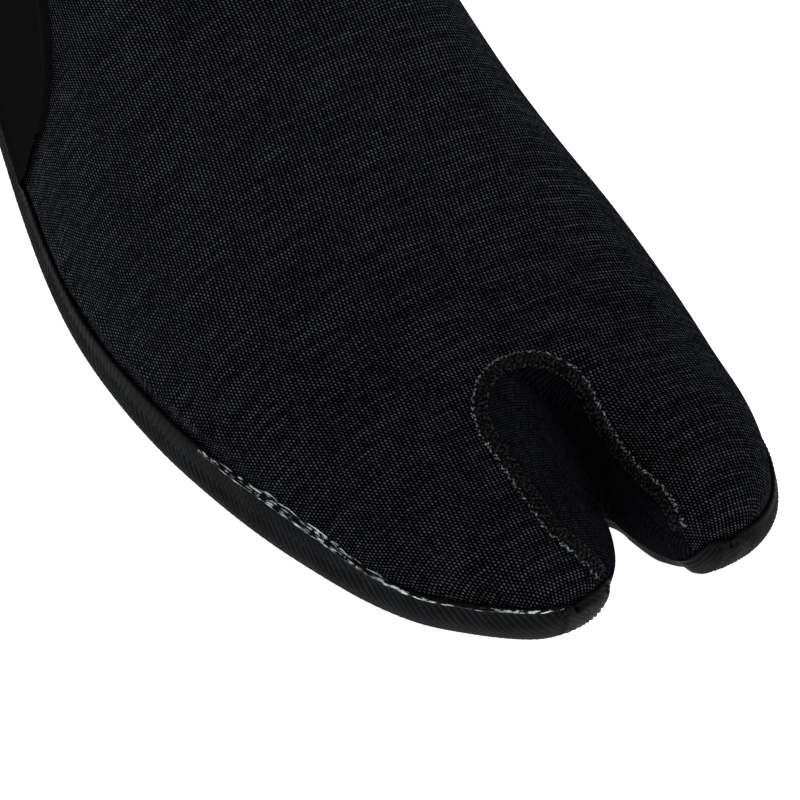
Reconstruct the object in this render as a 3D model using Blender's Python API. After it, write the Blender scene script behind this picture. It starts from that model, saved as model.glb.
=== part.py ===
"""A right split-toe wetsuit boot: a neoprene sock with a pocket for the big toe, on a thin rubber sole."""

import bmesh
import bpy
import numpy as np
from mathutils.geometry import delaunay_2d_cdt

# Driving sizes in millimetres. x runs forward from the middle of the heel seat, y to the big toe, z up.
MM = 0.001
WALL = 3.0
GUSSET_WALL = 1.5
INSOLE_THICK = 3.0
INSOLE_CLEAR = 0.5
SOLE_THICK = 4.0
RUBBER_WALL = 1.6
GAP = 0.3
SEAM_GAP = 0.4
MITRE_REACH = 4.0
TUCK = 6.0
SPLIT_TUCK = 4.0
WIDE_RISE = 9.0
HEM_STEP = 0.7
SHAFT_LEVEL = 150.0

# The sole's underside: flat heel, raised arch, flat forefoot, toe spring.
ARCH_FROM, ARCH_TO, ARCH_RISE = 38.0, 138.0, 3.5
ARCH_SIDE_SLOPE = 0.35 / 40.0
ARCH_MIDDLE = 0.65
SPRING_FROM, SPRING_RISE = 194.0, 4.0

# The rubber's lip above the underside: along the foot, lower at the toes, at the split and on the big toe's
# side, higher at the heel.
LIP_RISE = 18.0
LIP_INSIDE_DROP, LIP_INSIDE_FROM, LIP_INSIDE_TO = 5.5, 20.0, 205.0
LIP_TOE_DROP, LIP_TOE_FROM, LIP_TOE_TO = 3.2, 192.0, 227.0
LIP_HEEL_RISE, LIP_HEEL_FROM = 3.0, 10.0
SPLIT_LIP_RISE = SOLE_THICK + 1.2

# The split between the toes: a round-ended U in the upper's top, whose two sides slope to a valley that
# runs down to a short narrow split in the sole.
RIM_ROOT, RIM_MIDDLE, RIM_BEND = 197.0, 5.4, 10.0
RIM_HALF = {"lateral": 9.6, "medial": 13.2}
RIM_SPREAD = {"lateral": -0.12, "medial": 0.2}
RIM_FADE_FROM, RIM_END = 227.0, 238.6
FLOOR_ROOT, FLOOR_MIDDLE, FLOOR_RADIUS = 219.5, 17.0, 2.6
SPLIT_RISE = 7.5
VALLEY_DIP, VALLEY_SWING = 1.6, 2.6
VALLEY_LEAN = {"lateral": 0.28, "medial": 0.16}
POCKET_FROM, POCKET_TO = 197.0, 221.0

# Vertical sections from the toe tips back to the instep. lateral and medial are the foot's outline, ridge the
# crest of the whole forefoot, split the outline beside the split, crest the top of each toe pocket.
FOOT_COLUMNS = ("x", "lateral", "medial", "ridge_y", "ridge_z", "split_lateral", "split_medial",
                "crest_lateral_y", "crest_lateral_z", "crest_medial_y", "crest_medial_z")
FOOT_ROWS = (
    (240.0, -1.8, 32.0, 5.4, 17.3, -1.8, 32.0, -1.8, 17.3, 32.0, 17.3),
    (239.0, -7.4, 38.4, 5.4, 20.0, 4.6, 26.4, -1.4, 21.5, 32.4, 22.0),
    (236.0, -12.8, 43.2, 5.4, 24.0, 9.2, 22.4, -1.4, 25.5, 33.0, 26.5),
    (231.0, -19.2, 46.8, 5.4, 28.0, 12.2, 20.3, -2.0, 28.5, 33.6, 30.0),
    (224.0, -26.6, 49.4, 5.4, 31.5, 14.2, 19.7, -2.8, 30.8, 34.2, 32.6),
    (215.0, -32.8, 51.1, 5.4, 34.0, 14.4, 17.6, -3.4, 33.0, 34.8, 34.6),
    (204.0, -38.4, 52.1, 5.4, 36.8, 14.4, 15.6, -3.6, 35.5, 35.4, 36.6),
    (192.0, -43.8, 52.3, 5.4, 40.5, 14.4, 15.0, -4.0, 38.5, 36.0, 39.0),
    (179.0, -48.4, 51.6, 5.4, 45.2, 14.4, 19.6, -4.0, 42.0, 36.0, 42.0),
    (165.0, -52.2, 49.9, 6.8, 50.8, 14.4, 19.6, -4.0, 45.0, 36.0, 45.0),
    (150.0, -54.6, 46.4, 8.6, 57.6, 14.4, 19.6, -4.0, 48.0, 36.0, 48.0),
    (135.0, -55.4, 43.0, 9.8, 65.2, 14.4, 19.6, -4.0, 51.0, 36.0, 51.0),
    (120.0, -54.4, 40.4, 10.2, 73.2, 14.4, 19.6, -4.0, 54.0, 36.0, 54.0),
)

# Sections that swing round the heel and up the shaft, from instep to collar. The first rows stand on the sole
# at the floor points, the rows with no floor width are closed rings that end at the back of the heel.
ANKLE_COLUMNS = ("floor_x", "floor_z", "floor_lateral", "floor_medial", "follow", "wide_x", "wide_z",
                 "lateral", "medial", "top_x", "top_y", "top_z")
ANKLE_ROWS = (
    (104.0, 0.0, -46.0, 32.6, 1.00, 104.0, 15.0, -52.0, 38.6, 107.5, 9.6, 79.4),
    (86.0, 0.0, -42.6, 30.8, 1.00, 87.0, 15.8, -48.6, 37.0, 97.5, 8.3, 85.4),
    (66.0, 0.0, -38.2, 29.4, 1.00, 68.0, 16.8, -44.4, 35.6, 89.0, 6.8, 91.2),
    (44.0, 0.0, -33.2, 28.8, 1.00, 47.0, 18.8, -39.8, 35.0, 81.6, 5.1, 97.0),
    (21.0, 0.0, -29.8, 28.2, 1.00, 25.0, 22.5, -36.8, 34.8, 75.8, 3.6, 102.8),
    (-1.0, 0.0, -28.2, 27.4, 1.00, 5.0, 28.0, -35.4, 34.6, 71.4, 2.2, 108.6),
    (-17.0, 0.0, -22.8, 22.2, 0.90, -7.0, 34.5, -34.6, 33.8, 67.8, 1.2, 114.0),
    (-26.6, 0.0, -15.2, 14.8, 0.60, -9.5, 42.0, -33.8, 33.0, 65.2, 0.5, 120.5),
    (-31.8, 0.0, -7.2, 7.0, 0.30, -8.0, 50.0, -33.2, 32.4, 63.2, 0.0, 126.5),
    (-33.6, 0.0, 0.0, 0.0, 0.10, -5.0, 57.5, -32.9, 32.1, 62.1, 0.0, 131.5),
    (-38.4, 4.6, 0.0, 0.0, 0.00, -1.0, 66.0, -32.8, 32.0, 61.3, 0.0, 136.5),
    (-40.2, 19.0, 0.0, 0.0, 0.00, 3.0, 77.0, -33.0, 32.2, 60.5, 0.0, 142.0),
    (-39.6, 36.0, 0.0, 0.0, 0.00, 7.0, 89.0, -33.5, 32.7, 59.9, 0.0, 147.5),
    (-36.7, 55.0, 0.0, 0.0, 0.00, 10.5, 102.0, -33.9, 33.1, 59.5, 0.0, 153.5),
    (-32.2, 77.0, 0.0, 0.0, 0.00, 13.5, 117.0, -33.7, 33.1, 59.2, 0.0, 160.5),
    (-28.4, 100.0, 0.0, 0.0, 0.00, 15.8, 133.5, -33.2, 32.8, 59.2, 0.0, 168.0),
    (-26.5, 124.0, 0.0, 0.0, 0.00, 16.8, 150.5, -33.0, 32.8, 59.5, 0.0, 176.0),
    (-26.2, 148.0, 0.0, 0.0, 0.00, 17.0, 167.0, -33.6, 33.4, 59.9, 0.0, 183.5),
    (-26.9, 171.0, 0.0, 0.0, 0.00, 17.0, 181.5, -34.6, 34.4, 60.4, 0.0, 190.5),
    (-28.0, 192.0, 0.0, 0.0, 0.00, 16.6, 196.0, -35.6, 35.4, 61.0, 0.0, 196.3),
)
ROOT_ROW = 7
FULLNESS = {"lateral": 2.1, "medial": 2.6}
POCKET_FULLNESS = 2.3
SHAFT_FULLNESS = 2.0

# How finely the solids follow the shape.
LOWER_STEPS = 4
UPPER_STEPS = 7
GUSSET_STEPS = 5
ROOT_ANGLES = 5
VALLEY_STEPS = 3
TURN_STEPS = 2
LEG_STEPS = 4
TOE_STEPS = 3


def column(name):
    """One column of the foot's rows, continued over the ankle's rows where they have it."""
    foot = [row[FOOT_COLUMNS.index(name)] for row in FOOT_ROWS]
    last = len(ANKLE_ROWS) * [foot[-1]]
    return np.array(foot + last)


def through_rows(values, at, before=None):
    """A smooth curve through a column, read at fractions of rows; before is the value ahead of row 0."""
    values = np.asarray(values, float)
    first = 2 * values[0] - values[1] if before is None else before
    padded = np.concatenate(([first], values, [2 * values[-1] - values[-2]]))
    at = np.clip(np.asarray(at, float), 0, len(values) - 1)
    i = np.minimum(at.astype(int), len(values) - 2)
    t = at - i
    p0, p1, p2, p3 = padded[i], padded[i + 1], padded[i + 2], padded[i + 3]
    square, cube = 2 * p0 - 5 * p1 + 4 * p2 - p3, 3 * (p1 - p2) + p3 - p0
    return 0.5 * (2 * p1 + (p2 - p0) * t + square * t**2 + cube * t**3)


def smoothstep(value):
    value = np.clip(value, 0, 1)
    return value * value * (3 - 2 * value)


def underside(x, y):
    """Height of the sole's underside: the arch, higher on the big toe's side, and the toe spring."""
    along = np.clip((x - ARCH_FROM) / (ARCH_TO - ARCH_FROM), 0, 1)
    arch = ARCH_RISE * np.sin(np.pi * along) ** 2 * np.clip(ARCH_MIDDLE + ARCH_SIDE_SLOPE * y, 0, 1)
    spring = SPRING_RISE * (np.clip(x - SPRING_FROM, 0, None) / (FOOT_ROWS[0][0] - SPRING_FROM)) ** 2
    return arch + spring


def floor(x, y):
    """Height of the neoprene's lowest face, a gap above the rubber's floor."""
    return underside(x, y) + SOLE_THICK + GAP


def ankle(name):
    return np.array([row[ANKLE_COLUMNS.index(name)] for row in ANKLE_ROWS])


# The tables as whole columns, toe tip to collar.
FOOT_COUNT = len(FOOT_ROWS)
FOOT_X = column("x")[:FOOT_COUNT]
FOOT_Z = floor(FOOT_X, 0.0) + WIDE_RISE
FOOT_ONES = np.ones(FOOT_COUNT)
WIDE_X = np.concatenate((FOOT_X, ankle("wide_x")))
WIDE_Z = np.concatenate((FOOT_Z, ankle("wide_z")))
TOP_X = np.concatenate((FOOT_X, ankle("top_x")))
TOP_Y = np.concatenate((column("ridge_y")[:FOOT_COUNT], ankle("top_y")))
TOP_Z = np.concatenate((column("ridge_z")[:FOOT_COUNT], ankle("top_z")))
FOLLOW = np.concatenate((FOOT_ONES, ankle("follow")))
EDGE = {
    "lateral": np.concatenate((column("lateral")[:FOOT_COUNT], ankle("lateral"))),
    "medial": np.concatenate((column("medial")[:FOOT_COUNT], ankle("medial"))),
    "split_lateral": column("split_lateral"),
    "split_medial": column("split_medial"),
}
ACROSS_TIP = {"lateral": "split_lateral", "medial": "split_medial",
              "split_lateral": "lateral", "split_medial": "medial"}
TURN = {"lateral": 1, "split_medial": 1, "medial": -1, "split_lateral": -1}
SHAFT_BLEND = np.concatenate((0 * FOOT_ONES, smoothstep(np.arange(1, len(ANKLE_ROWS) + 1) / 8)))
FINE_ROWS = np.linspace(0, FOOT_COUNT - 1, 40001)


def edge(name, at):
    """The foot's outline in plan, at its widest line, on one side."""
    x = through_rows(WIDE_X, at, WIDE_X[1])
    y = through_rows(EDGE[name], at, EDGE[ACROSS_TIP[name]][1])
    return x, y


def outward(name, at):
    """Unit vectors in plan that point out of the foot at its outline."""
    before = np.asarray(at, float) - 0.02
    x0, y0 = (np.where(before < 0, beyond, here)
              for beyond, here in zip(edge(ACROSS_TIP[name], -before), edge(name, before)))
    x1, y1 = edge(name, before + 0.04)
    dx, dy = x1 - x0, y1 - y0
    length = np.hypot(dx, dy)
    return -TURN[name] * dy / length, TURN[name] * dx / length


def row_at(x):
    """The fraction of rows at which a vertical section stands at x."""
    return np.interp(-np.asarray(x, float), -through_rows(WIDE_X, FINE_ROWS, WIDE_X[1]), FINE_ROWS)


def floor_edges(side):
    """Where the upper is turned under, row by row."""
    rows = np.arange(FOOT_COUNT, dtype=float)
    x, y = edge(side, rows)
    nx, ny = outward(side, rows)
    foot_x, foot_y = x - TUCK * nx, y - TUCK * ny
    all_x = np.concatenate((foot_x, ankle("floor_x")))
    all_y = np.concatenate((foot_y, ankle("floor_" + side)))
    all_z = floor(all_x, all_y) + np.concatenate((0 * FOOT_ONES, ankle("floor_z")))
    return all_x, all_y, all_z


FLOOR = {side: floor_edges(side) for side in ("lateral", "medial")}


def pocket_rise(side, at, y, wide_y):
    """How far a toe pocket's arch has risen at y, from 0 at its outline to 1 at its crest."""
    crest = through_rows(column("crest_" + side + "_y"), at)[:, None]
    inner = through_rows(EDGE["split_" + side], at, EDGE[side][1])[:, None]
    reach = np.where((y - crest) * (wide_y - crest) > 0, wide_y - crest, inner - crest)
    part = np.clip(np.abs(y - crest) / np.maximum(np.abs(reach), 1e-6), 0, 1)
    return np.sqrt(1 - part**POCKET_FULLNESS)


def half_section(side, at, end_y=None, lower_steps=LOWER_STEPS, upper_steps=UPPER_STEPS):
    """Sections of one side of the sock, from the turned-under edge up to the crest or to end_y."""
    at = np.atleast_1d(np.asarray(at, float))
    wide_x, wide_y = (part[:, None] for part in edge(side, at))
    wide_z = through_rows(WIDE_Z, at)[:, None]
    floor_x = through_rows(FLOOR[side][0], at, FLOOR[side][0][1])[:, None]
    floor_y, floor_z = (through_rows(part, at)[:, None] for part in FLOOR[side][1:])
    follow = through_rows(FOLLOW, at)[:, None]
    angle = np.linspace(0, np.pi / 2, lower_steps + 1)[None, :]
    out, up = np.sin(angle), 1 - np.cos(angle)
    x = floor_x + (wide_x - floor_x) * (follow * out + (1 - follow) * up)
    y = floor_y + (wide_y - floor_y) * out
    z = floor_z + (wide_z - floor_z) * up
    lower = np.stack((x, y, z), axis=-1)

    top_x = through_rows(TOP_X, at, TOP_X[1])[:, None]
    top_y, top_z = (through_rows(part, at)[:, None] for part in (TOP_Y, TOP_Z))
    end = top_y if end_y is None else np.asarray(end_y, float)[:, None]
    step = np.linspace(0, 1, upper_steps + 1)[None, 1:]
    y = wide_y + (end - wide_y) * step**2
    blend = through_rows(SHAFT_BLEND, at)[:, None]
    fullness = FULLNESS[side] * (1 - blend) + SHAFT_FULLNESS * blend
    part = np.clip((top_y - y) / (top_y - wide_y), 0, 1)
    rise = np.sqrt(1 - part**fullness)
    x = wide_x + (top_x - wide_x) * rise
    z = wide_z + (top_z - wide_z) * rise
    crest_z = through_rows(column("crest_" + side + "_z"), at)[:, None]
    pocket_z = wide_z + (crest_z - wide_z) * pocket_rise(side, at, y, wide_y)
    pocket = smoothstep((wide_x - POCKET_FROM) / (POCKET_TO - POCKET_FROM))
    z = z * (1 - pocket) + pocket_z * pocket
    upper = np.stack((x, y, z), axis=-1)
    return np.concatenate((lower, upper), axis=1)


def top_height(side, x, y):
    """Height of the sock's top at x, y in front of the instep."""
    return half_section(side, row_at(x), y, 1, 1)[:, -1, 2]


def rim_y(side, x):
    """Where the split's rim lies across the foot at x."""
    sign = -1 if side == "lateral" else 1
    back = np.clip((RIM_ROOT + RIM_BEND - x) / RIM_BEND, 0, 1)
    bend = RIM_MIDDLE + sign * RIM_HALF[side] * np.sqrt(1 - back**2)
    leg = bend + sign * RIM_SPREAD[side] * np.clip(x - RIM_ROOT - RIM_BEND, 0, None)
    fade = np.clip((x - RIM_FADE_FROM) / (RIM_END - RIM_FADE_FROM), 0, 1)
    stay = np.sqrt(1 - fade**2)
    return leg * stay + edge("split_" + side, row_at(x))[1] * (1 - stay)


def split_stations():
    """x of the stations along the split: to the root of the sole's split, and on from there to the toes."""
    bend = RIM_ROOT + RIM_BEND * (1 - np.cos(np.linspace(0, np.pi / 2, ROOT_ANGLES)))
    valley = np.linspace(bend[-1], FLOOR_ROOT, VALLEY_STEPS + 1)[1:]
    turn = FLOOR_ROOT + FLOOR_RADIUS * (1 - np.cos(np.linspace(0, np.pi / 2, TURN_STEPS + 1)))
    leg = turn[-1] + (RIM_END - turn[-1]) * np.sin(np.linspace(0, np.pi / 2, LEG_STEPS + 1)[1:])
    return np.concatenate((bend, valley)), np.concatenate((turn, leg))


def split_floor_edge(side, x):
    """The sole's edge in the split and the unit vectors into the split, root to end."""
    sign = -1 if side == "lateral" else 1
    leg_x, leg_y = edge("split_" + side, row_at(x))
    leg_nx, leg_ny = outward("split_" + side, row_at(x))
    turn = np.arccos(np.clip((FLOOR_ROOT + FLOOR_RADIUS - x) / FLOOR_RADIUS, 0, 1))
    bend = x < FLOOR_ROOT + FLOOR_RADIUS - 1e-6
    y = np.where(bend, FLOOR_MIDDLE + sign * FLOOR_RADIUS * np.sin(turn), leg_y)
    nx = np.where(bend, np.cos(turn), leg_nx)
    ny = np.where(bend, -sign * np.sin(turn), leg_ny)
    return y, nx, ny


def split_wide_z(rows):
    """Height of the widest line beside the split: low at its root, as high as the outline's at the toes."""
    x = through_rows(WIDE_X, rows, WIDE_X[1])
    low = SPLIT_RISE - WIDE_RISE
    return through_rows(WIDE_Z, rows) + low * (1 - smoothstep((x - 226.0) / (RIM_END - 226.0)))


def turned_under(rows, x, y, nx, ny, tuck, steps=LOWER_STEPS):
    """Rows from the widest line down to the floor, for the edges beside the split."""
    wide_z = split_wide_z(rows)[:, None]
    floor_x, floor_y = (x - tuck * nx)[:, None], (y - tuck * ny)[:, None]
    floor_z = floor(floor_x, floor_y)
    angle = np.linspace(np.pi / 2, 0, steps + 1)[None, :]
    out, up = np.sin(angle), 1 - np.cos(angle)
    rows = (floor_x + (x[:, None] - floor_x) * out, floor_y + (y[:, None] - floor_y) * out,
            floor_z + (wide_z - floor_z) * up)
    return np.stack(rows, axis=-1)


def split_tuck(x):
    """The tuck beside the split, which grows to the outline's own tuck at the toe tip."""
    return SPLIT_TUCK + (TUCK - SPLIT_TUCK) * smoothstep((x - 224.0) / (FOOT_X[0] - 224.0))


def valley(x):
    """The line where the gusset's two sides meet, from the rim's root to the root of the sole's split."""
    left = 1 - (x - RIM_ROOT) / (FLOOR_ROOT - RIM_ROOT)
    top = top_height("lateral", np.array([RIM_ROOT]), np.array([RIM_MIDDLE]))[0]
    low = split_wide_z(row_at([FLOOR_ROOT]))[0]
    y = FLOOR_MIDDLE + (RIM_MIDDLE - FLOOR_MIDDLE) * left**VALLEY_SWING
    z = low + (top - low) * left**VALLEY_DIP
    return np.stack((x, y, z), axis=-1)


def gusset_curve(side, x, foot, steps=GUSSET_STEPS):
    """Curves from the rim over the gusset's shoulder down to foot, where they stand upright at the toes."""
    sign = -1 if side == "lateral" else 1
    lean = VALLEY_LEAN[side] * (1 - smoothstep((x - FLOOR_ROOT) / (RIM_FADE_FROM - FLOOR_ROOT)))
    y = rim_y(side, x)
    rim = np.stack((x, y, top_height(side, x, y)), axis=-1)
    reach = np.abs(foot[:, 1] - y)
    probe = 0.4
    slope = np.clip((top_height(side, x, y - sign * probe) - rim[:, 2]) / probe, -2.0, 0.3)
    drop = rim[:, 2] - foot[:, 2]
    lead = np.minimum(0.55 * reach, 0.45 * drop / np.maximum(-slope, 0.2))
    first = rim + np.column_stack((0 * x, -sign * lead, slope * lead))
    second = foot + np.column_stack((0 * x, sign * lean * drop, 0.45 * drop))
    t = np.linspace(0, 1, steps + 1)[None, :, None]
    return (rim[:, None] * (1 - t) ** 3 + 3 * first[:, None] * t * (1 - t) ** 2
            + 3 * second[:, None] * t**2 * (1 - t) + foot[:, None] * t**3)


def gusset_grids():
    """The gusset as three grids: the valley, and the two sides of the sole's split."""
    back_x, front_x = split_stations()
    line = valley(back_x)
    left = gusset_curve("lateral", back_x, line)
    right = gusset_curve("medial", back_x, line)
    grids = {"valley": np.concatenate((left, right[:, -2::-1]), axis=1)[::-1]}
    for side in ("lateral", "medial"):
        y, nx, ny = split_floor_edge(side, front_x)
        under = turned_under(row_at(front_x), front_x, y, nx, ny, split_tuck(front_x))
        curve = gusset_curve(side, front_x, under[:, 0])
        grids[side] = np.concatenate((curve, under[:, 1:]), axis=1)[::-1]
    return grids


class Sock:
    """The outer skin of upper and gusset as one mesh, with its normals and with marks for its edges."""

    def __init__(self):
        self.points, self.faces, self.kinds, self.floor_marks, self.hem_marks = [], [], [], [], []

    def add_grid(self, grid, kind, flip=False, floor_columns=(), hem_rows=()):
        base = sum(len(part) for part in self.points)
        count_i, count_j = grid.shape[:2]
        self.points.append(grid.reshape(-1, 3))
        floor_mark = np.zeros((count_i, count_j), bool)
        floor_mark[:, list(floor_columns)] = True
        hem_mark = np.zeros((count_i, count_j), bool)
        hem_mark[list(hem_rows), :] = True
        self.floor_marks.append(floor_mark.ravel())
        self.hem_marks.append(hem_mark.ravel())
        for i in range(count_i - 1):
            for j in range(count_j - 1):
                a = base + i * count_j + j
                face = (a, a + 1, a + count_j + 1, a + count_j)
                self.faces.append(face[::-1] if flip else face)
                self.kinds.append(kind)

    def finish(self):
        points = np.concatenate(self.points)
        _, first, inverse = np.unique(np.round(points, 2), axis=0, return_index=True, return_inverse=True)
        inverse = inverse.ravel()
        self.v = points[first]
        self.is_floor = np.zeros(len(first), bool)
        self.is_hem = np.zeros(len(first), bool)
        np.logical_or.at(self.is_floor, inverse, np.concatenate(self.floor_marks))
        np.logical_or.at(self.is_hem, inverse, np.concatenate(self.hem_marks))
        kept, kinds = [], []
        for face, kind in zip(self.faces, self.kinds):
            corners = list(dict.fromkeys(int(inverse[i]) for i in face))
            for triangle in self.triangles(corners):
                kept.append(triangle)
                kinds.append(kind)
        self.f, self.k = kept, kinds
        # A seam's normal lies halfway between those of the two pieces, so that their edges meet as a mitre.
        self.n = np.zeros_like(self.v)
        for kind in set(kinds):
            own = np.zeros_like(self.v)
            for corners in (f for f, k in zip(kept, kinds) if k == kind):
                a, b, c = self.v[corners]
                own[corners] += np.cross(b - a, c - a)
            self.n += own / np.maximum(np.linalg.norm(own, axis=1), 1e-9)[:, None]
        self.n /= np.linalg.norm(self.n, axis=1)[:, None]
        self.n[self.is_floor] = (0, 0, -1)

    def triangles(self, corners):
        """A quad cut along its shorter diagonal, so that every offset of the sock has the same facets."""
        if len(corners) < 4:
            return [corners] if len(corners) == 3 else []
        a, b, c, d = corners
        if np.linalg.norm(self.v[a] - self.v[c]) < np.linalg.norm(self.v[b] - self.v[d]):
            return [[a, b, c], [a, c, d]]
        return [[a, b, d], [b, c, d]]

    def border(self, kind=None):
        """Directed edges that only one face of the kind uses."""
        faces = [f for f, k in zip(self.f, self.k) if kind in (None, k)]
        edges = {(a, b) for f in faces for a, b in zip(f, f[1:] + f[:1])}
        return [(a, b) for a, b in edges if (b, a) not in edges]


def make_sock():
    sock = Sock()
    rim_x = np.unique(np.concatenate(split_stations()))
    toe_rows = row_at(RIM_END) * (1 - np.linspace(0, 1, TOE_STEPS + 1)[1:])
    last = len(FOOT_ROWS) + len(ANKLE_ROWS) - 1
    root_row = float(row_at(RIM_ROOT))
    hem_ends = [last - 0.72, last - 0.68, last - 0.35, last]
    body_rows = np.unique(np.concatenate(([root_row], np.arange(ROOT_ROW, last), hem_ends)))
    lateral = half_section("lateral", body_rows)
    medial = half_section("medial", body_rows)
    body = np.concatenate((lateral, medial[:, -2::-1]), axis=1)
    hem_rows = np.nonzero(body_rows > last - 0.7)[0]
    sock.add_grid(body, "upper", floor_columns=(0, body.shape[1] - 1), hem_rows=hem_rows)
    closed = np.concatenate((0 * FOOT_ONES, np.abs(ankle("floor_lateral")) < 0.01))
    first_closed = int(np.argmax(closed > 0))
    above = first_closed + 0.5
    marks = np.zeros(body.shape[:2], bool)
    marks[body_rows < above, 0] = True
    marks[body_rows < above, -1] = True
    sock.floor_marks[0] = marks.ravel()

    for side in ("lateral", "medial"):
        flip = side == "medial"
        rows = np.concatenate((row_at(rim_x), toe_rows))
        ends = np.concatenate((rim_y(side, rim_x), edge("split_" + side, toe_rows)[1]))
        pocket = half_section(side, rows, ends)[::-1]
        sock.add_grid(pocket, "upper", flip, floor_columns=(0,))
        front_rows = np.concatenate(([row_at(RIM_END)], toe_rows))[::-1]
        front_x, front_y = edge("split_" + side, front_rows)
        front_out = outward("split_" + side, front_rows)
        front = turned_under(front_rows, front_x, front_y, *front_out, split_tuck(front_x))
        sock.add_grid(front, "upper", flip, floor_columns=(front.shape[1] - 1,))
    for name, grid in gusset_grids().items():
        floor_columns = () if name == "valley" else (grid.shape[1] - 1,)
        sock.add_grid(grid, "gusset", name == "medial", floor_columns)
    sock.finish()
    return sock


def new_object(name, points, faces, group, colour=None, rough=0.8):
    """A mesh object from points in millimetres, in a collection, with a plain material if given a colour."""
    mesh = bpy.data.meshes.new(name)
    mesh.from_pydata((np.asarray(points) * MM).tolist(), [], [list(map(int, face)) for face in faces])
    mesh.validate()
    mesh.update()
    made = bpy.data.objects.new(name, mesh)
    group.objects.link(made)
    if colour:
        material = bpy.data.materials.new(name)
        material.use_nodes = True
        shader = material.node_tree.nodes["Principled BSDF"]
        shader.inputs["Base Color"].default_value = (*colour, 1)
        shader.inputs["Roughness"].default_value = rough
        mesh.materials.append(material)
    return made


def shell(outer, inner, faces):
    """Points and faces of the solid between two skins that share their faces, closed along their border."""
    used = sorted({i for face in faces for i in face})
    place = {i: k for k, i in enumerate(used)}
    count = len(used)
    out = [[place[i] for i in face] for face in faces]
    edges = {(a, b) for face in out for a, b in zip(face, face[1:] + face[:1])}
    rim = []
    for a, b in sorted(edges):
        if (b, a) not in edges:
            # Both pieces at a seam cut their edge walls along the same diagonal.
            rim += [(b, a, b + count), (a, a + count, b + count)] if a < b else \
                   [(b, a, a + count), (b, a + count, b + count)]
    back = [[i + count for i in face[::-1]] for face in out]
    return np.concatenate((outer[used], inner[used])), out + back + rim


def ordered_loop(edges):
    """The points of a closed border, one after another."""
    following = dict(edges)
    loop = [edges[0][0]]
    while following[loop[-1]] != loop[0]:
        loop.append(following[loop[-1]])
    return loop


def fill(loop_xy, middle_xy):
    """Triangles inside a loop in plan, through points inside it; faces look up."""
    count = len(loop_xy)
    points = [tuple(p) for p in np.concatenate((loop_xy, middle_xy))]
    edges = [(i, (i + 1) % count) for i in range(count)]
    xy, _, faces, _, _, _ = delaunay_2d_cdt(points, edges, [], 1, 1e-4)
    return np.array([(p[0], p[1]) for p in xy]), [list(face) for face in faces]


def middle_points():
    """Points along the middle of the foot and of each toe pocket, for the floor's arch and spring."""
    rows = np.arange(ROOT_ROW, len(WIDE_X) - 12, dtype=float)
    left, right = (np.stack([through_rows(part, rows) for part in FLOOR[side][:2]], axis=-1)
                   for side in ("lateral", "medial"))
    parts = [left + (right - left) * share for share in (0.25, 0.5, 0.75)]
    toes = np.arange(2, ROOT_ROW, dtype=float)
    for side in ("lateral", "medial"):
        x, y = edge(side, toes)
        parts.append(np.stack((x, (y + edge("split_" + side, toes)[1]) / 2), axis=-1))
    return np.concatenate(parts)


def closed_form(sock, grow, floor_height):
    """The sock grown by a gap and by grow, closed at collar and floor, with its floor at floor_height."""
    points = sock.v + sock.n * (GAP + grow)[:, None]
    points[sock.is_floor] = sock.v[sock.is_floor]
    faces = [list(face) for face in sock.f]
    border = sock.border()
    floor_loop = ordered_loop([(a, b) for a, b in border if sock.is_floor[a] and sock.is_floor[b]])
    collar = ordered_loop([(a, b) for a, b in border if not (sock.is_floor[a] and sock.is_floor[b])])
    points[collar, 2] += 2.0
    faces.append(collar[::-1])
    loop_xy = points[floor_loop][:, :2]
    xy, under = fill(loop_xy, middle_points())
    count = len(floor_loop)
    number = np.arange(len(xy)) - count + len(points)
    number[:count] = floor_loop
    heights = floor_height(xy[:, 0], xy[:, 1])
    points[floor_loop, 2] = heights[:count]
    points = np.concatenate((points, np.column_stack((xy[count:], heights[count:]))))
    faces += [[int(number[i]) for i in face[::-1]] for face in under]
    return points, faces


def lip_height(x, y):
    """Top of the rubber: along the foot, lower at the toes, higher round the heel, low inside the split."""
    heel = LIP_HEEL_RISE * smoothstep((LIP_HEEL_FROM - x) / 45.0)
    toe = LIP_TOE_DROP * smoothstep((x - LIP_TOE_FROM) / (LIP_TOE_TO - LIP_TOE_FROM))
    inside = smoothstep((y - 10.0) / 15.0) * smoothstep((x - LIP_INSIDE_FROM) / 60.0)
    inside = inside * (1 - smoothstep((x - LIP_INSIDE_TO) / 22.0))
    rise = LIP_RISE + heel - toe - LIP_INSIDE_DROP * inside
    beside = smoothstep((11.0 - np.abs(y - FLOOR_MIDDLE)) / 6.0) * smoothstep((x - 200.0) / 10.0)
    return underside(np.minimum(x, FOOT_X[0]), y) + rise - (rise - SPLIT_LIP_RISE) * beside


def lip_form(above=0.0):
    """Everything more than above over the rubber's lip, as a block with a wavy underside."""
    xs = np.concatenate((np.arange(-60.0, 180.0, 8.0), np.arange(180.0, 264.0, 3.0)))
    toes_y = np.arange(-8.0, 38.0, 3.0)
    ys = np.concatenate((np.arange(-72.0, -8.0, 8.0), toes_y, np.arange(38.0, 80.0, 8.0)))
    x, y = np.meshgrid(xs, ys, indexing="ij")
    under = np.stack((x, y, lip_height(x, y) + above), axis=-1).reshape(-1, 3)
    over = np.stack((x, y, 0 * x + 300.0), axis=-1).reshape(-1, 3)
    rows, columns = x.shape
    cells = [(i * columns + j, (i + 1) * columns + j, (i + 1) * columns + j + 1, i * columns + j + 1)
             for i in range(rows - 1) for j in range(columns - 1)]
    return shell(over, under, [list(cell) for cell in cells])


def cut(target, cutter, operation="DIFFERENCE"):
    step = target.modifiers.new(cutter.name, "BOOLEAN")
    step.operation = operation
    step.object = cutter
    step.solver = "EXACT"


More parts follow.
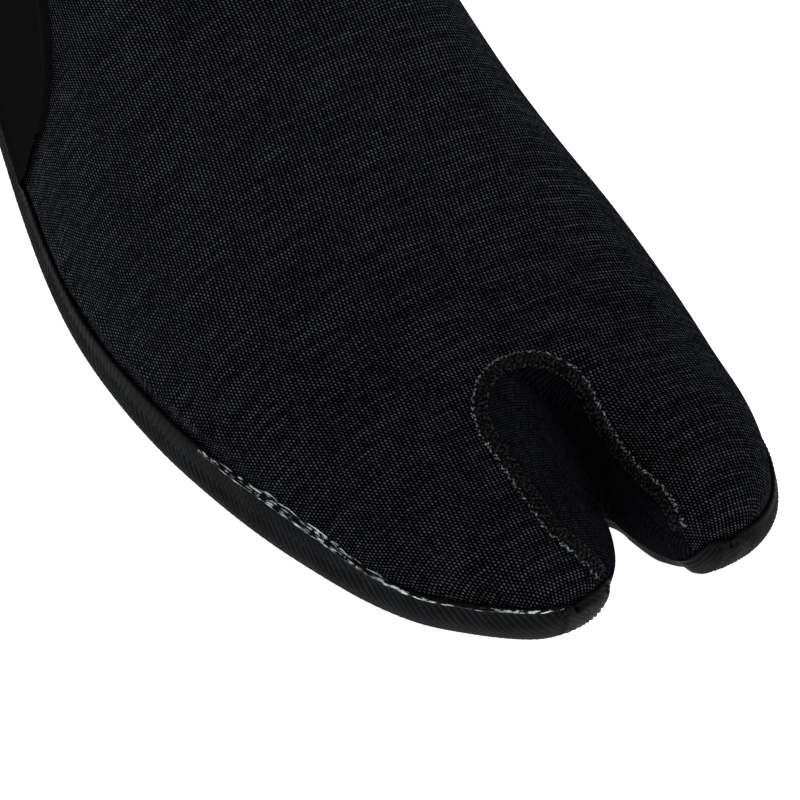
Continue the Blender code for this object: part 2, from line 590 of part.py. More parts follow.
def block(name, x0, x1, y0, y1, z0, z1, group):
    corners = [(x, y, z) for x in (x0, x1) for y in (y0, y1) for z in (z0, z1)]
    faces = [(0, 1, 3, 2), (4, 6, 7, 5), (0, 4, 5, 1), (2, 3, 7, 6), (0, 2, 6, 4), (1, 5, 7, 3)]
    return new_object(name, corners, faces, group)


# Flex grooves across the underside, in the flat heel and forefoot.
GROOVE_X = (-24.0, -12.0, 12.0, 24.0, 147.0, 157.0, 167.0, 177.0, 187.0, 208.0, 218.0)
GROOVE_WIDE, GROOVE_DEEP = 2.4, 1.2

# The heel counter's outline from the side, and its thickness over the upper.
COUNTER_X = (104.0, 104.2, 103.2, 99.0, 93.0, 85.0, 72.0, 50.0, 22.0, -12.0, -50.0)
COUNTER_Z = (10.0, 28.0, 38.5, 46.0, 50.5, 54.5, 60.5, 70.5, 82.0, 93.0, 100.0)
COUNTER_THICK = 1.0
COUNTER_ABOVE_LIP = 0.5

# The raised seam round the split.
SEAM_WIDE, SEAM_HIGH, SEAM_FROM = 3.4, 0.9, 21.5


def counter_region(group):
    """A block seen from the side as the heel counter, down past the rubber's lip."""
    outline = list(zip(COUNTER_X, COUNTER_Z)) + [(COUNTER_X[-1], COUNTER_Z[0])]
    near = [(x, -70.0, z) for x, z in outline]
    far = [(x, 70.0, z) for x, z in outline]
    count = len(outline)
    sides = [(i, (i + 1) % count, (i + 1) % count + count, i + count) for i in range(count)]
    ends = [range(count)[::-1], range(count, 2 * count)]
    return new_object("counter_region", near + far, ends + sides, group)


def rim_loop(sock):
    """The split's rim on the sock, from the lateral end round the root to the medial end."""
    upper = {frozenset(e) for e in sock.border("upper")}
    gusset = {frozenset(e) for e in sock.border("gusset")}
    shared = [tuple(pair) for pair in upper & gusset]
    neighbours = {}
    for a, b in shared:
        neighbours.setdefault(a, []).append(b)
        neighbours.setdefault(b, []).append(a)
    ends = [i for i, near in neighbours.items() if len(near) == 1]
    path = [min(ends, key=lambda i: sock.v[i][1])]
    while len(path) < len(neighbours):
        path.append(next(i for i in neighbours[path[-1]] if i not in path))
    return path


def seam_strip(sock, path):
    """A flat strip that lies along the rim, half on the upper and half on the gusset."""
    top = [i for i in path if sock.v[i][2] > SEAM_FROM]
    middle, normal = sock.v[top], sock.n[top]
    along = np.gradient(middle, axis=0)
    along /= np.linalg.norm(along, axis=1)[:, None]
    across = np.cross(along, normal)
    across /= np.linalg.norm(across, axis=1)[:, None]
    profile = ((-0.5, 0.0), (0.5, 0.0), (0.38, 0.75), (0.0, 1.0), (-0.38, 0.75))
    rings = [middle + across * SEAM_WIDE * a + normal * (GAP + SEAM_HIGH * b) for a, b in profile]
    count, sides = len(top), len(profile)
    points = np.concatenate(rings)
    starts = [(k * count, (k + 1) % sides * count) for k in range(sides)]
    faces = [(a + i, a + i + 1, b + i + 1, b + i) for a, b in starts for i in range(count - 1)]
    ends = [[k * count for k in range(sides)], [k * count + count - 1 for k in range(sides)][::-1]]
    return points, [list(face) for face in faces] + ends


def outward_faces(made):
    """Turns a closed mesh's faces outward."""
    work = bmesh.new()
    work.from_mesh(made.data)
    bmesh.ops.recalc_face_normals(work, faces=work.faces)
    work.to_mesh(made.data)
    work.free()


def build():
    for old in list(bpy.data.objects):
        bpy.data.objects.remove(old)
    boot = bpy.data.collections.new("split_toe_boot")
    cutters = bpy.data.collections.new("cutters")
    bpy.context.scene.collection.children.link(boot)
    bpy.context.scene.collection.children.link(cutters)
    sock = make_sock()
    hem = np.where(sock.is_hem, HEM_STEP, 0.0)[:, None]
    flat = sock.n.copy()
    flat[sock.v[:, 2] > SHAFT_LEVEL, 2] = 0
    flat /= np.linalg.norm(flat, axis=1)[:, None]

    upper_faces = [f for f, k in zip(sock.f, sock.k) if k == "upper"]
    upper = new_object("upper", *shell(sock.v + flat * hem, sock.v - flat * WALL, upper_faces), boot,
                       (0.012, 0.012, 0.014), 0.9)

    gusset_faces = [f for f, k in zip(sock.f, sock.k) if k == "gusset"]
    path = rim_loop(sock)
    held = sock.v.copy()
    steps = np.diff(sock.v[path], axis=0)
    steps /= np.linalg.norm(steps, axis=1)[:, None]
    before = np.concatenate((steps[:1], steps))
    after = np.concatenate((steps, steps[-1:]))
    for i, back, ahead in zip(path, before, after):
        near = {j for f in gusset_faces if i in f for j in f} - set(path)
        inward = np.mean([sock.v[j] for j in near], axis=0) - sock.v[i]
        square = np.cross(sock.n[i], back + ahead)
        square *= np.sign(np.dot(square, inward)) / np.linalg.norm(square)
        corner = max(np.linalg.norm(back + ahead) / 2, 0.4)
        held[i] = sock.v[i] + SEAM_GAP / corner * square
    toward = np.linalg.norm(sock.v[:, None] - sock.v[path][None], axis=2)
    near = smoothstep(toward.min(axis=1) / MITRE_REACH)[:, None]
    mitred = sock.n * near + sock.n[path][toward.argmin(axis=1)] * (1 - near)
    mitred[sock.is_floor] = (0, 0, -1)
    mitred /= np.linalg.norm(mitred, axis=1)[:, None]
    gusset = new_object("toe_gusset", *shell(held, held - mitred * GUSSET_WALL, gusset_faces), boot,
                        (0.010, 0.010, 0.012), 0.9)

    seam = new_object("split_seam", *seam_strip(sock, path), boot, (0.010, 0.010, 0.011), 0.8)

    rubber = RUBBER_WALL * smoothstep((LIP_RISE + LIP_HEEL_RISE + 24.0 - sock.v[:, 2]) / 16.0)
    toes = sock.v[:, 0] > RIM_ROOT
    rubber[toes] = RUBBER_WALL * smoothstep((24.0 - sock.v[toes, 2]) / 6.0)
    outsole = new_object("outsole", *closed_form(sock, rubber, underside), boot, (0.03, 0.03, 0.032), 0.6)
    above_lip = new_object("above_lip", *lip_form(), cutters)
    inside = closed_form(sock, 0 * rubber, lambda x, y: underside(x, y) + SOLE_THICK)
    last = new_object("last", *inside, cutters)
    cut(outsole, above_lip)
    cut(outsole, last)
    grooves = []
    for number, x in enumerate(GROOVE_X):
        half = GROOVE_WIDE / 2
        top = float(underside(np.array(x), np.array(0.0))) + GROOVE_DEEP
        grooves.append(block(f"groove_{number}", x - half, x + half, -70.0, 70.0, -2.0, top, cutters))
        cut(outsole, grooves[-1])

    region = counter_region(cutters)
    behind = COUNTER_THICK * smoothstep((160.0 - sock.v[:, 0]) / 20.0)
    counter = new_object("heel_counter", *closed_form(sock, behind, underside), boot,
                         (0.018, 0.018, 0.019), 0.7)
    cut(counter, region, "INTERSECT")
    cut(counter, new_object("above_rubber", *lip_form(COUNTER_ABOVE_LIP), cutters), "INTERSECT")
    cut(counter, last)

    floor_loop = ordered_loop([(a, b) for a, b in sock.border() if sock.is_floor[a] and sock.is_floor[b]])
    ring = sock.v[floor_loop][:, :2]
    along = np.roll(ring, -1, axis=0) - np.roll(ring, 1, axis=0)
    along /= np.linalg.norm(along, axis=1)[:, None]
    aside = np.stack((-along[:, 1], along[:, 0]), axis=-1)
    area = np.sum(ring[:, 0] * np.roll(ring[:, 1], -1) - ring[:, 1] * np.roll(ring[:, 0], -1))
    inset = ring + aside * np.sign(area) * INSOLE_CLEAR
    xy, faces = fill(inset, middle_points())
    low = np.column_stack((xy, floor(xy[:, 0], xy[:, 1])))
    high = low + (0, 0, INSOLE_THICK)
    insole = new_object("insole", *shell(high, low, faces), boot, (0.02, 0.02, 0.022), 0.9)

    for cutter in cutters.objects:
        cutter.hide_render = True
        cutter.display_type = "WIRE"
    for made in list(boot.objects) + list(cutters.objects):
        outward_faces(made)
    return upper, gusset, seam, outsole, counter, insole


build()
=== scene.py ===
import bmesh
import bpy
import numpy as np
from mathutils import Matrix, Vector


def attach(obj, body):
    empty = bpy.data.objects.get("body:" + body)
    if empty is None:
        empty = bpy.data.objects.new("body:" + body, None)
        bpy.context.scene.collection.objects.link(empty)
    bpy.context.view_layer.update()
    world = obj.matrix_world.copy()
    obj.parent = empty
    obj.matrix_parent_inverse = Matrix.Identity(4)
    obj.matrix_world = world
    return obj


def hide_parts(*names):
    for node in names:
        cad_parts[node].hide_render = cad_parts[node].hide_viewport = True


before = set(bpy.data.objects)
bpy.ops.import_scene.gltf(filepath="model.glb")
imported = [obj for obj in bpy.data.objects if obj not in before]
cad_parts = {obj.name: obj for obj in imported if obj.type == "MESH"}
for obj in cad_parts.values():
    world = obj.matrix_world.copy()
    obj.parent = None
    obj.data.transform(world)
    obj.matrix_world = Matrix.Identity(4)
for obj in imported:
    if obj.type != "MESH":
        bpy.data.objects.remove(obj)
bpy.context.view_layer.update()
mm = 0.001
tiny = 1e-12
lastCell = 1.001  # off a count of columns, so that a place stays within the last cell
weldGap = 2e-6  # metres
sides = ("lateral", "medial")  # the small toes' side and the big toe's side
lowColumns = 13  # columns of a section from the turned-under edge out to the widest line
quarterDown = np.linspace(np.pi / 2, 0, lowColumns)[None, :]

# The boot's shape, in millimetres: x forward from the heel seat, y to the big toe, z up.
last = {
    "wall": 3.0, "gussetWall": 1.5, "gap": 0.3, "tuck": 6.0, "splitTuck": 4.0, "wideRise": 9.0,
    "fullness": {"lateral": 2.1, "medial": 2.6}, "pocketFullness": 2.3, "shaftFullness": 2.0, "shaftRows": 8,
    "pocketFrom": 197.0, "pocketTo": 221.0, "rootRow": 7, "rowProbe": 0.02,
}
sole = {
    "thick": 4.0, "wall": 1.6, "archFrom": 38.0, "archTo": 138.0, "archRise": 3.5, "archMiddle": 0.65,
    "archSide": 0.35 / 40, "springFrom": 194.0, "springRise": 4.0,
    "grooves": (-24, -12, 12, 24, 147, 157, 167, 177, 187, 208, 218), "grooveWide": 2.4, "grooveDeep": 1.2,
    "grooveSoft": 0.15, "middleFrom": 120.0, "backRows": 150, "toeRows": 40, "bottomColumns": 21,
    "edgePoints": 4001,
}
# the rubber's lip: its height, and each rise or drop with where it starts and the length it takes
lip = {
    "high": 18.0, "heelRise": 3.0, "heelFrom": 10.0, "heelLong": 45.0,
    "toeDrop": 3.2, "toeFrom": 192.0, "toeTo": 227.0,
    "sideFrom": 10.0, "sideWide": 15.0,
    "insideDrop": 5.5, "insideFrom": 20.0, "insideLong": 60.0, "insideTo": 205.0, "insideFade": 22.0,
    "outsideDrop": 1.8, "outsideFrom": 15.0, "outsideLong": 50.0, "outsideTo": 125.0, "outsideFade": 45.0,
    "inSplit": 5.2, "splitNear": 11.0, "splitFade": 6.0, "splitFrom": 200.0, "splitLong": 10.0,
}
split = {
    "rimRoot": 197.0, "rimMiddle": 5.4, "rimBend": 10.0, "rimHalf": {"lateral": 9.6, "medial": 13.2},
    "spread": {"lateral": -0.12, "medial": 0.2}, "fadeFrom": 227.0, "rimEnd": 238.6,
    "floorRoot": 219.5, "floorMiddle": 17.0, "floorRadius": 2.6, "rootLean": {"lateral": 0.0, "medial": 1.9},
    "leanLong": 13.0, "rise": 7.5, "riseFrom": 226.0, "tuckFrom": 224.0, "dip": 1.6, "swing": 2.6,
}
# x, lateral, medial, ridge y, ridge z, lateral and medial edge at the split, crest y and z of each toe pocket
footRows = np.array((
    (240.0, -1.8, 32.0, 5.4, 17.3, -1.8, 32.0, -1.8, 17.3, 32.0, 17.3),
    (239.0, -7.4, 38.4, 5.4, 20.0, 4.6, 26.4, -1.4, 21.5, 32.4, 22.0),
    (236.0, -12.8, 43.2, 5.4, 24.0, 9.2, 22.4, -1.4, 25.5, 33.0, 26.5),
    (231.0, -19.2, 46.8, 5.4, 28.0, 12.2, 20.3, -2.0, 28.5, 33.6, 30.0),
    (224.0, -26.6, 49.4, 5.4, 31.5, 14.2, 19.7, -2.8, 30.8, 34.2, 32.6),
    (215.0, -32.8, 51.1, 5.4, 34.0, 14.4, 17.6, -3.4, 33.0, 34.8, 34.6),
    (204.0, -38.4, 52.1, 5.4, 36.8, 14.4, 15.6, -3.6, 35.5, 35.4, 36.6),
    (192.0, -43.8, 52.3, 5.4, 40.5, 14.4, 15.0, -4.0, 38.5, 36.0, 39.0),
    (179.0, -48.4, 51.6, 5.4, 45.2, 14.4, 19.6, -4.0, 42.0, 36.0, 42.0),
    (165.0, -52.2, 49.9, 6.8, 50.8, 14.4, 19.6, -4.0, 45.0, 36.0, 45.0),
    (150.0, -54.6, 46.4, 8.6, 57.6, 14.4, 19.6, -4.0, 48.0, 36.0, 48.0),
    (135.0, -55.4, 43.0, 9.8, 65.2, 14.4, 19.6, -4.0, 51.0, 36.0, 51.0),
    (120.0, -54.4, 40.4, 10.2, 73.2, 14.4, 19.6, -4.0, 54.0, 36.0, 54.0),
))
# floor x, z, lateral, medial, follow, wide x, z, lateral, medial, top x, y, z
ankleRows = np.array((
    (104.0, 0.0, -46.0, 32.6, 1.00, 104.0, 15.0, -52.0, 38.6, 107.5, 9.6, 79.4),
    (86.0, 0.0, -42.6, 30.8, 1.00, 87.0, 15.8, -48.6, 37.0, 97.5, 8.3, 85.4),
    (66.0, 0.0, -38.2, 29.4, 1.00, 68.0, 16.8, -44.4, 35.6, 89.0, 6.8, 91.2),
    (44.0, 0.0, -33.2, 28.8, 1.00, 47.0, 18.8, -39.8, 35.0, 81.6, 5.1, 97.0),
    (21.0, 0.0, -29.8, 28.2, 1.00, 25.0, 22.5, -36.8, 34.8, 75.8, 3.6, 102.8),
    (-1.0, 0.0, -28.2, 27.4, 1.00, 5.0, 28.0, -35.4, 34.6, 71.4, 2.2, 108.6),
    (-17.0, 0.0, -22.8, 22.2, 0.90, -7.0, 34.5, -34.6, 33.8, 67.8, 1.2, 114.0),
    (-26.6, 0.0, -15.2, 14.8, 0.60, -9.5, 42.0, -33.8, 33.0, 65.2, 0.5, 120.5),
    (-31.8, 0.0, -7.2, 7.0, 0.30, -8.0, 50.0, -33.2, 32.4, 63.2, 0.0, 126.5),
    (-33.6, 0.0, 0.0, 0.0, 0.10, -5.0, 57.5, -32.9, 32.1, 62.1, 0.0, 131.5),
    (-38.4, 4.6, 0.0, 0.0, 0.00, -1.0, 66.0, -32.8, 32.0, 61.3, 0.0, 136.5),
    (-40.2, 19.0, 0.0, 0.0, 0.00, 3.0, 77.0, -33.0, 32.2, 60.5, 0.0, 142.0),
    (-39.6, 36.0, 0.0, 0.0, 0.00, 7.0, 89.0, -33.5, 32.7, 59.9, 0.0, 147.5),
    (-36.7, 55.0, 0.0, 0.0, 0.00, 10.5, 102.0, -33.9, 33.1, 59.5, 0.0, 153.5),
    (-32.2, 77.0, 0.0, 0.0, 0.00, 13.5, 117.0, -33.7, 33.1, 59.2, 0.0, 160.5),
    (-28.4, 100.0, 0.0, 0.0, 0.00, 15.8, 133.5, -33.2, 32.8, 59.2, 0.0, 168.0),
    (-26.5, 124.0, 0.0, 0.0, 0.00, 16.8, 150.5, -33.0, 32.8, 59.5, 0.0, 176.0),
    (-26.2, 148.0, 0.0, 0.0, 0.00, 17.0, 167.0, -33.6, 33.4, 59.9, 0.0, 183.5),
    (-26.9, 171.0, 0.0, 0.0, 0.00, 17.0, 181.5, -34.6, 34.4, 60.4, 0.0, 190.5),
    (-28.0, 192.0, 0.0, 0.0, 0.00, 16.6, 196.0, -35.6, 35.4, 61.0, 0.0, 196.3),
))
footCount = len(footRows)
lastRow = footCount + len(ankleRows) - 1
heelRow = footCount + 9  # the row whose turned-under edges meet at the back of the heel


def throughRows(values, at, before=None):
    # a Catmull-Rom curve through the rows' values; before stands ahead of the first row
    first = 2 * values[0] - values[1] if before is None else before
    padded = np.concatenate(([first], values, [2 * values[-1] - values[-2]]))
    at = np.clip(np.asarray(at, float), 0, len(values) - 1)
    i = np.minimum(at.astype(int), len(values) - 2)
    t = at - i
    p0, p1, p2, p3 = padded[i], padded[i + 1], padded[i + 2], padded[i + 3]
    return 0.5 * (2 * p1 + (p2 - p0) * t + (2 * p0 - 5 * p1 + 4 * p2 - p3) * t**2
                  + (3 * (p1 - p2) + p3 - p0) * t**3)


def smoothStep(value):
    # 3t2 - 2t3 between 0 and 1
    value = np.clip(value, 0, 1)
    return value * value * (3 - 2 * value)


def underside(x, y):
    # the sole's underside: sin2 arch, higher to the big toe's side, and a square-law toe spring
    along = np.clip((x - sole["archFrom"]) / (sole["archTo"] - sole["archFrom"]), 0, 1)
    across = np.clip(sole["archMiddle"] + sole["archSide"] * y, 0, 1)
    arch = sole["archRise"] * np.sin(np.pi * along) ** 2 * across
    spring = np.clip(x - sole["springFrom"], 0, None) / (footRows[0, 0] - sole["springFrom"])
    return arch + sole["springRise"] * spring**2


def floorHeight(x, y):
    return underside(x, y) + sole["thick"] + last["gap"]


footX = footRows[:, 0]
wideX = np.concatenate((footX, ankleRows[:, 5]))
wideZ = np.concatenate((floorHeight(footX, 0.0) + last["wideRise"], ankleRows[:, 6]))
topX = np.concatenate((footX, ankleRows[:, 9]))
topY = np.concatenate((footRows[:, 3], ankleRows[:, 10]))
topZ = np.concatenate((footRows[:, 4], ankleRows[:, 11]))
follow = np.concatenate((np.ones(footCount), ankleRows[:, 4]))
shaftSteps = np.arange(1, len(ankleRows) + 1) / last["shaftRows"]
shaftBlend = np.concatenate((np.zeros(footCount), smoothStep(shaftSteps)))
edgeY = {
    "lateral": np.concatenate((footRows[:, 1], ankleRows[:, 7])),
    "medial": np.concatenate((footRows[:, 2], ankleRows[:, 8])),
    "splitLateral": footRows[:, 5],
    "splitMedial": footRows[:, 6],
}
splitEdge = {"lateral": "splitLateral", "medial": "splitMedial"}
acrossTip = {
    "lateral": "splitLateral", "medial": "splitMedial", "splitLateral": "lateral", "splitMedial": "medial",
}
turnWay = {"lateral": 1, "splitMedial": 1, "medial": -1, "splitLateral": -1}
sideSign = {"lateral": -1, "medial": 1}
crest = {"lateral": footRows[:, 7:9], "medial": footRows[:, 9:11]}
fineRows = np.linspace(0, footCount - 1, 40001)
fineX = throughRows(wideX, fineRows, wideX[1])


def rowAt(x):
    return np.interp(-np.asarray(x, float), -fineX, fineRows)


def edge(name, at):
    # the outline in plan at its widest line
    return throughRows(wideX, at, wideX[1]), throughRows(edgeY[name], at, edgeY[acrossTip[name]][1])


def outward(name, at):
    # unit vectors in plan out of the foot, square to the outline
    before = np.asarray(at, float) - last["rowProbe"]
    beyond, here = edge(acrossTip[name], -before), edge(name, before)
    x0, y0 = np.where(before < 0, beyond[0], here[0]), np.where(before < 0, beyond[1], here[1])
    x1, y1 = edge(name, before + 2 * last["rowProbe"])
    length = np.hypot(x1 - x0, y1 - y0)
    return -turnWay[name] * (y1 - y0) / length, turnWay[name] * (x1 - x0) / length


def floorEdges(side):
    # where the upper is turned under: the outline less the tuck, then the ankle rows' own floor points
    rows = np.arange(footCount, dtype=float)
    x, y = edge(side, rows)
    nx, ny = outward(side, rows)
    allX = np.concatenate((x - last["tuck"] * nx, ankleRows[:, 0]))
    allY = np.concatenate((y - last["tuck"] * ny, ankleRows[:, 2 if side == "lateral" else 3]))
    allZ = floorHeight(allX, allY) + np.concatenate((np.zeros(footCount), ankleRows[:, 1]))
    return allX, allY, allZ


floorEdge = {side: floorEdges(side) for side in sides}


def lowerArc(side, at, angle):
    # a quarter ellipse from the turned-under edge out to the widest line; angle runs 0 to a quarter turn
    wx, wy = (part[:, None] for part in edge(side, at))
    wz = throughRows(wideZ, at)[:, None]
    fx = throughRows(floorEdge[side][0], at, floorEdge[side][0][1])[:, None]
    fy, fz = (throughRows(part, at)[:, None] for part in floorEdge[side][1:])
    keep = throughRows(follow, at)[:, None]
    out, up = np.sin(angle), 1 - np.cos(angle)
    x = fx + (wx - fx) * (keep * out + (1 - keep) * up)
    return np.stack((x, fy + (wy - fy) * out, fz + (wz - fz) * up), -1)


def upperArc(side, at, endY, steps):
    # a superellipse from the widest line to the crest, or to endY, turning into each toe's own arch in front
    wx, wy = (part[:, None] for part in edge(side, at))
    wz = throughRows(wideZ, at)[:, None]
    tx = throughRows(topX, at, topX[1])[:, None]
    ty, tz = (throughRows(part, at)[:, None] for part in (topY, topZ))
    end = ty if endY is None else np.asarray(endY, float)[:, None]
    y = wy + (end - wy) * steps**2
    blend = throughRows(shaftBlend, at)[:, None]
    power = last["fullness"][side] * (1 - blend) + last["shaftFullness"] * blend
    rise = np.sqrt(1 - np.clip((ty - y) / (ty - wy), 0, 1) ** power)
    x, z = wx + (tx - wx) * rise, wz + (tz - wz) * rise
    footAt = np.minimum(at, footCount - 1)
    cy = throughRows(crest[side][:, 0], footAt)[:, None]
    cz = throughRows(crest[side][:, 1], footAt)[:, None]
    inner = throughRows(edgeY[splitEdge[side]], footAt, edgeY[side][1])[:, None]
    reach = np.where((y - cy) * (wy - cy) > 0, wy - cy, inner - cy)
    part = np.clip(np.abs(y - cy) / np.maximum(np.abs(reach), 1e-6), 0, 1)
    pocketZ = wz + (cz - wz) * np.sqrt(1 - part ** last["pocketFullness"])
    pocket = smoothStep((wx - last["pocketFrom"]) / (last["pocketTo"] - last["pocketFrom"]))
    return np.stack((x, y, z * (1 - pocket) + pocketZ * pocket), -1)


def halfSection(side, at, endY=None, lowerSteps=lowColumns - 1, upperSteps=34):
    # one side's section, from the turned-under edge out to the widest line and up to the crest or endY
    at = np.atleast_1d(np.asarray(at, float))
    lower = lowerArc(side, at, np.linspace(0, np.pi / 2, lowerSteps + 1)[None, :])
    upper = upperArc(side, at, endY, np.linspace(0, 1, upperSteps + 1)[None, 1:])
    return np.concatenate((lower, upper), axis=1)


def topHeight(side, x, y):
    return upperArc(side, rowAt(x), y, np.ones((1, 1)))[:, 0, 2]


def rimY(side, x):
    # the split's rim in plan: half a circle, straight legs, an ellipse quarter out to the edge at the toes
    back = np.clip((split["rimRoot"] + split["rimBend"] - x) / split["rimBend"], 0, 1)
    bend = split["rimMiddle"] + sideSign[side] * split["rimHalf"][side] * np.sqrt(1 - back**2)
    ahead = np.clip(x - split["rimRoot"] - split["rimBend"], 0, None)
    leg = bend + sideSign[side] * split["spread"][side] * ahead
    fade = np.clip((x - split["fadeFrom"]) / (split["rimEnd"] - split["fadeFrom"]), 0, 1)
    stay = np.sqrt(1 - fade**2)
    return leg * stay + edge(splitEdge[side], rowAt(x))[1] * (1 - stay)


def splitStations(bendSteps=26, valleySteps=14, turnSteps=8, legSteps=18):
    # x along the split: the rim's bend and the valley, then the sole's half circle and its legs
    bend = split["rimRoot"] + split["rimBend"] * (1 - np.cos(np.linspace(0, np.pi / 2, bendSteps)))
    valley = np.linspace(bend[-1], split["floorRoot"], valleySteps + 1)[1:]
    turn = split["floorRoot"] + split["floorRadius"] * (1 - np.cos(np.linspace(0, np.pi / 2, turnSteps + 1)))
    leg = turn[-1] + (split["rimEnd"] - turn[-1]) * np.sin(np.linspace(0, np.pi / 2, legSteps + 1)[1:])
    return np.concatenate((bend, valley)), np.concatenate((turn, leg))


def splitFloorEdge(side, x):
    # the sole's edge in the split, with unit vectors into it: a small half circle, then the toes' outline
    endX = np.array((split["floorRoot"] + split["floorRadius"],))
    lean = split["rootLean"][side]
    legY = edge(splitEdge[side], rowAt(x))[1] - lean * (1 - smoothStep((x - endX) / split["leanLong"]))
    legNx, legNy = outward(splitEdge[side], rowAt(x))
    turn = np.arccos(np.clip((split["floorRoot"] + split["floorRadius"] - x) / split["floorRadius"], 0, 1))
    bend = x < split["floorRoot"] + split["floorRadius"] - 1e-6
    # the half circle ends on the toe's own outline, so the edge has no step
    aside = edge(splitEdge[side], rowAt(endX))[1] - lean - split["floorMiddle"]
    y = np.where(bend, split["floorMiddle"] + aside * np.sin(turn), legY)
    return y, np.where(bend, np.cos(turn), legNx), np.where(bend, -sideSign[side] * np.sin(turn), legNy)


def splitWideZ(rows):
    # height of the widest line beside the split: lower than elsewhere until the toes' tips
    x = throughRows(wideX, rows, wideX[1])
    ahead = smoothStep((x - split["riseFrom"]) / (split["rimEnd"] - split["riseFrom"]))
    return throughRows(wideZ, rows) + (split["rise"] - last["wideRise"]) * (1 - ahead)


def splitArc(rows, x, y, nx, ny, angle):
    # a quarter ellipse beside the split, from the turned-under edge out to the widest line
    ahead = smoothStep((x - split["tuckFrom"]) / (footX[0] - split["tuckFrom"]))
    tuck = last["splitTuck"] + (last["tuck"] - last["splitTuck"]) * ahead
    fx, fy = (x - tuck * nx)[:, None], (y - tuck * ny)[:, None]
    fz = floorHeight(fx, fy)
    out, up = np.sin(angle), 1 - np.cos(angle)
    wz = splitWideZ(rows)[:, None]
    return np.stack((fx + (x[:, None] - fx) * out, fy + (y[:, None] - fy) * out, fz + (wz - fz) * up), -1)


def valleyLine(x):
    # where the gusset's two sides meet, swinging from the rim's root to the root of the sole's split
    left = 1 - (x - split["rimRoot"]) / (split["floorRoot"] - split["rimRoot"])
    top = topHeight("lateral", np.array([split["rimRoot"]]), np.array([split["rimMiddle"]]))[0]
    low = splitWideZ(rowAt([split["floorRoot"]]))[0]
    y = split["floorMiddle"] + (split["rimMiddle"] - split["floorMiddle"]) * left ** split["swing"]
    return np.stack((x, y, low + (top - low) * left ** split["dip"]), -1)


# the gusset's fall from the rim: limits of its first slope, and how far each end keeps its own direction
gussetFall = {
    "lean": {"lateral": 0.28, "medial": 0.16}, "probe": 0.4, "steepest": -2.0, "flattest": 0.3,
    "lead": 0.55, "leadDrop": 0.45, "leastSlope": 0.2, "footDrop": 0.45,
}


def gussetCurve(side, x, foot, steps=26):
    # a cubic Bezier from the rim, leaving it along the upper's own slope, down to its foot
    sign, probe = sideSign[side], gussetFall["probe"]
    ahead = smoothStep((x - split["floorRoot"]) / (split["fadeFrom"] - split["floorRoot"]))
    lean = gussetFall["lean"][side] * (1 - ahead)
    y = rimY(side, x)
    rim = np.stack((x, y, topHeight(side, x, y)), -1)
    slope = (topHeight(side, x, y - sign * probe) - rim[:, 2]) / probe
    slope = np.clip(slope, gussetFall["steepest"], gussetFall["flattest"])
    drop = rim[:, 2] - foot[:, 2]
    lead = gussetFall["leadDrop"] * drop / np.maximum(-slope, gussetFall["leastSlope"])
    lead = np.minimum(gussetFall["lead"] * np.abs(foot[:, 1] - y), lead)
    first = rim + np.column_stack((0 * x, -sign * lead, slope * lead))
    second = foot + np.column_stack((0 * x, sign * lean * drop, gussetFall["footDrop"] * drop))
    t = np.linspace(0, 1, steps + 1)[None, :, None]
    return (rim[:, None] * (1 - t) ** 3 + 3 * first[:, None] * t * (1 - t) ** 2
            + 3 * second[:, None] * t**2 * (1 - t) + foot[:, None] * t**3)


def lipHeight(x, y):
    # top of the rubber: higher round the heel, lower at the toes, along both sides and inside the split
    heel = lip["heelRise"] * smoothStep((lip["heelFrom"] - x) / lip["heelLong"])
    toe = lip["toeDrop"] * smoothStep((x - lip["toeFrom"]) / (lip["toeTo"] - lip["toeFrom"]))
    rise = lip["high"] + heel - toe
    for way, stretch in ((1, "inside"), (-1, "outside")):
        aside = smoothStep((way * y - lip["sideFrom"]) / lip["sideWide"])
        starts = smoothStep((x - lip[stretch + "From"]) / lip[stretch + "Long"])
        ends = smoothStep((x - lip[stretch + "To"]) / lip[stretch + "Fade"])
        rise = rise - lip[stretch + "Drop"] * aside * starts * (1 - ends)
    near = smoothStep((lip["splitNear"] - np.abs(y - split["floorMiddle"])) / lip["splitFade"])
    near = near * smoothStep((x - lip["splitFrom"]) / lip["splitLong"])
    return underside(np.minimum(x, footX[0]), y) + rise - (rise - lip["inSplit"]) * near


def unit(vectors):
    return vectors / np.maximum(np.linalg.norm(vectors, axis=-1), tiny)[..., None]


def gridNormals(grid):
    # unit normals of a grid: the cross product of its two directions
    return unit(np.cross(np.gradient(grid, axis=1), np.gradient(grid, axis=0)))


def lengths(points, axis):
    # running length along one direction of a grid, or along a path
    step = np.linalg.norm(np.diff(points, axis=axis), axis=-1)
    pad = [(int(way == axis), 0) for way in range(step.ndim)]
    return np.cumsum(np.pad(step, pad), axis=axis)


def alongPath(at, run, values):
    # a path's values at running lengths, straight between its points
    return np.stack([np.interp(at, run, values[:, k]) for k in range(3)], -1)


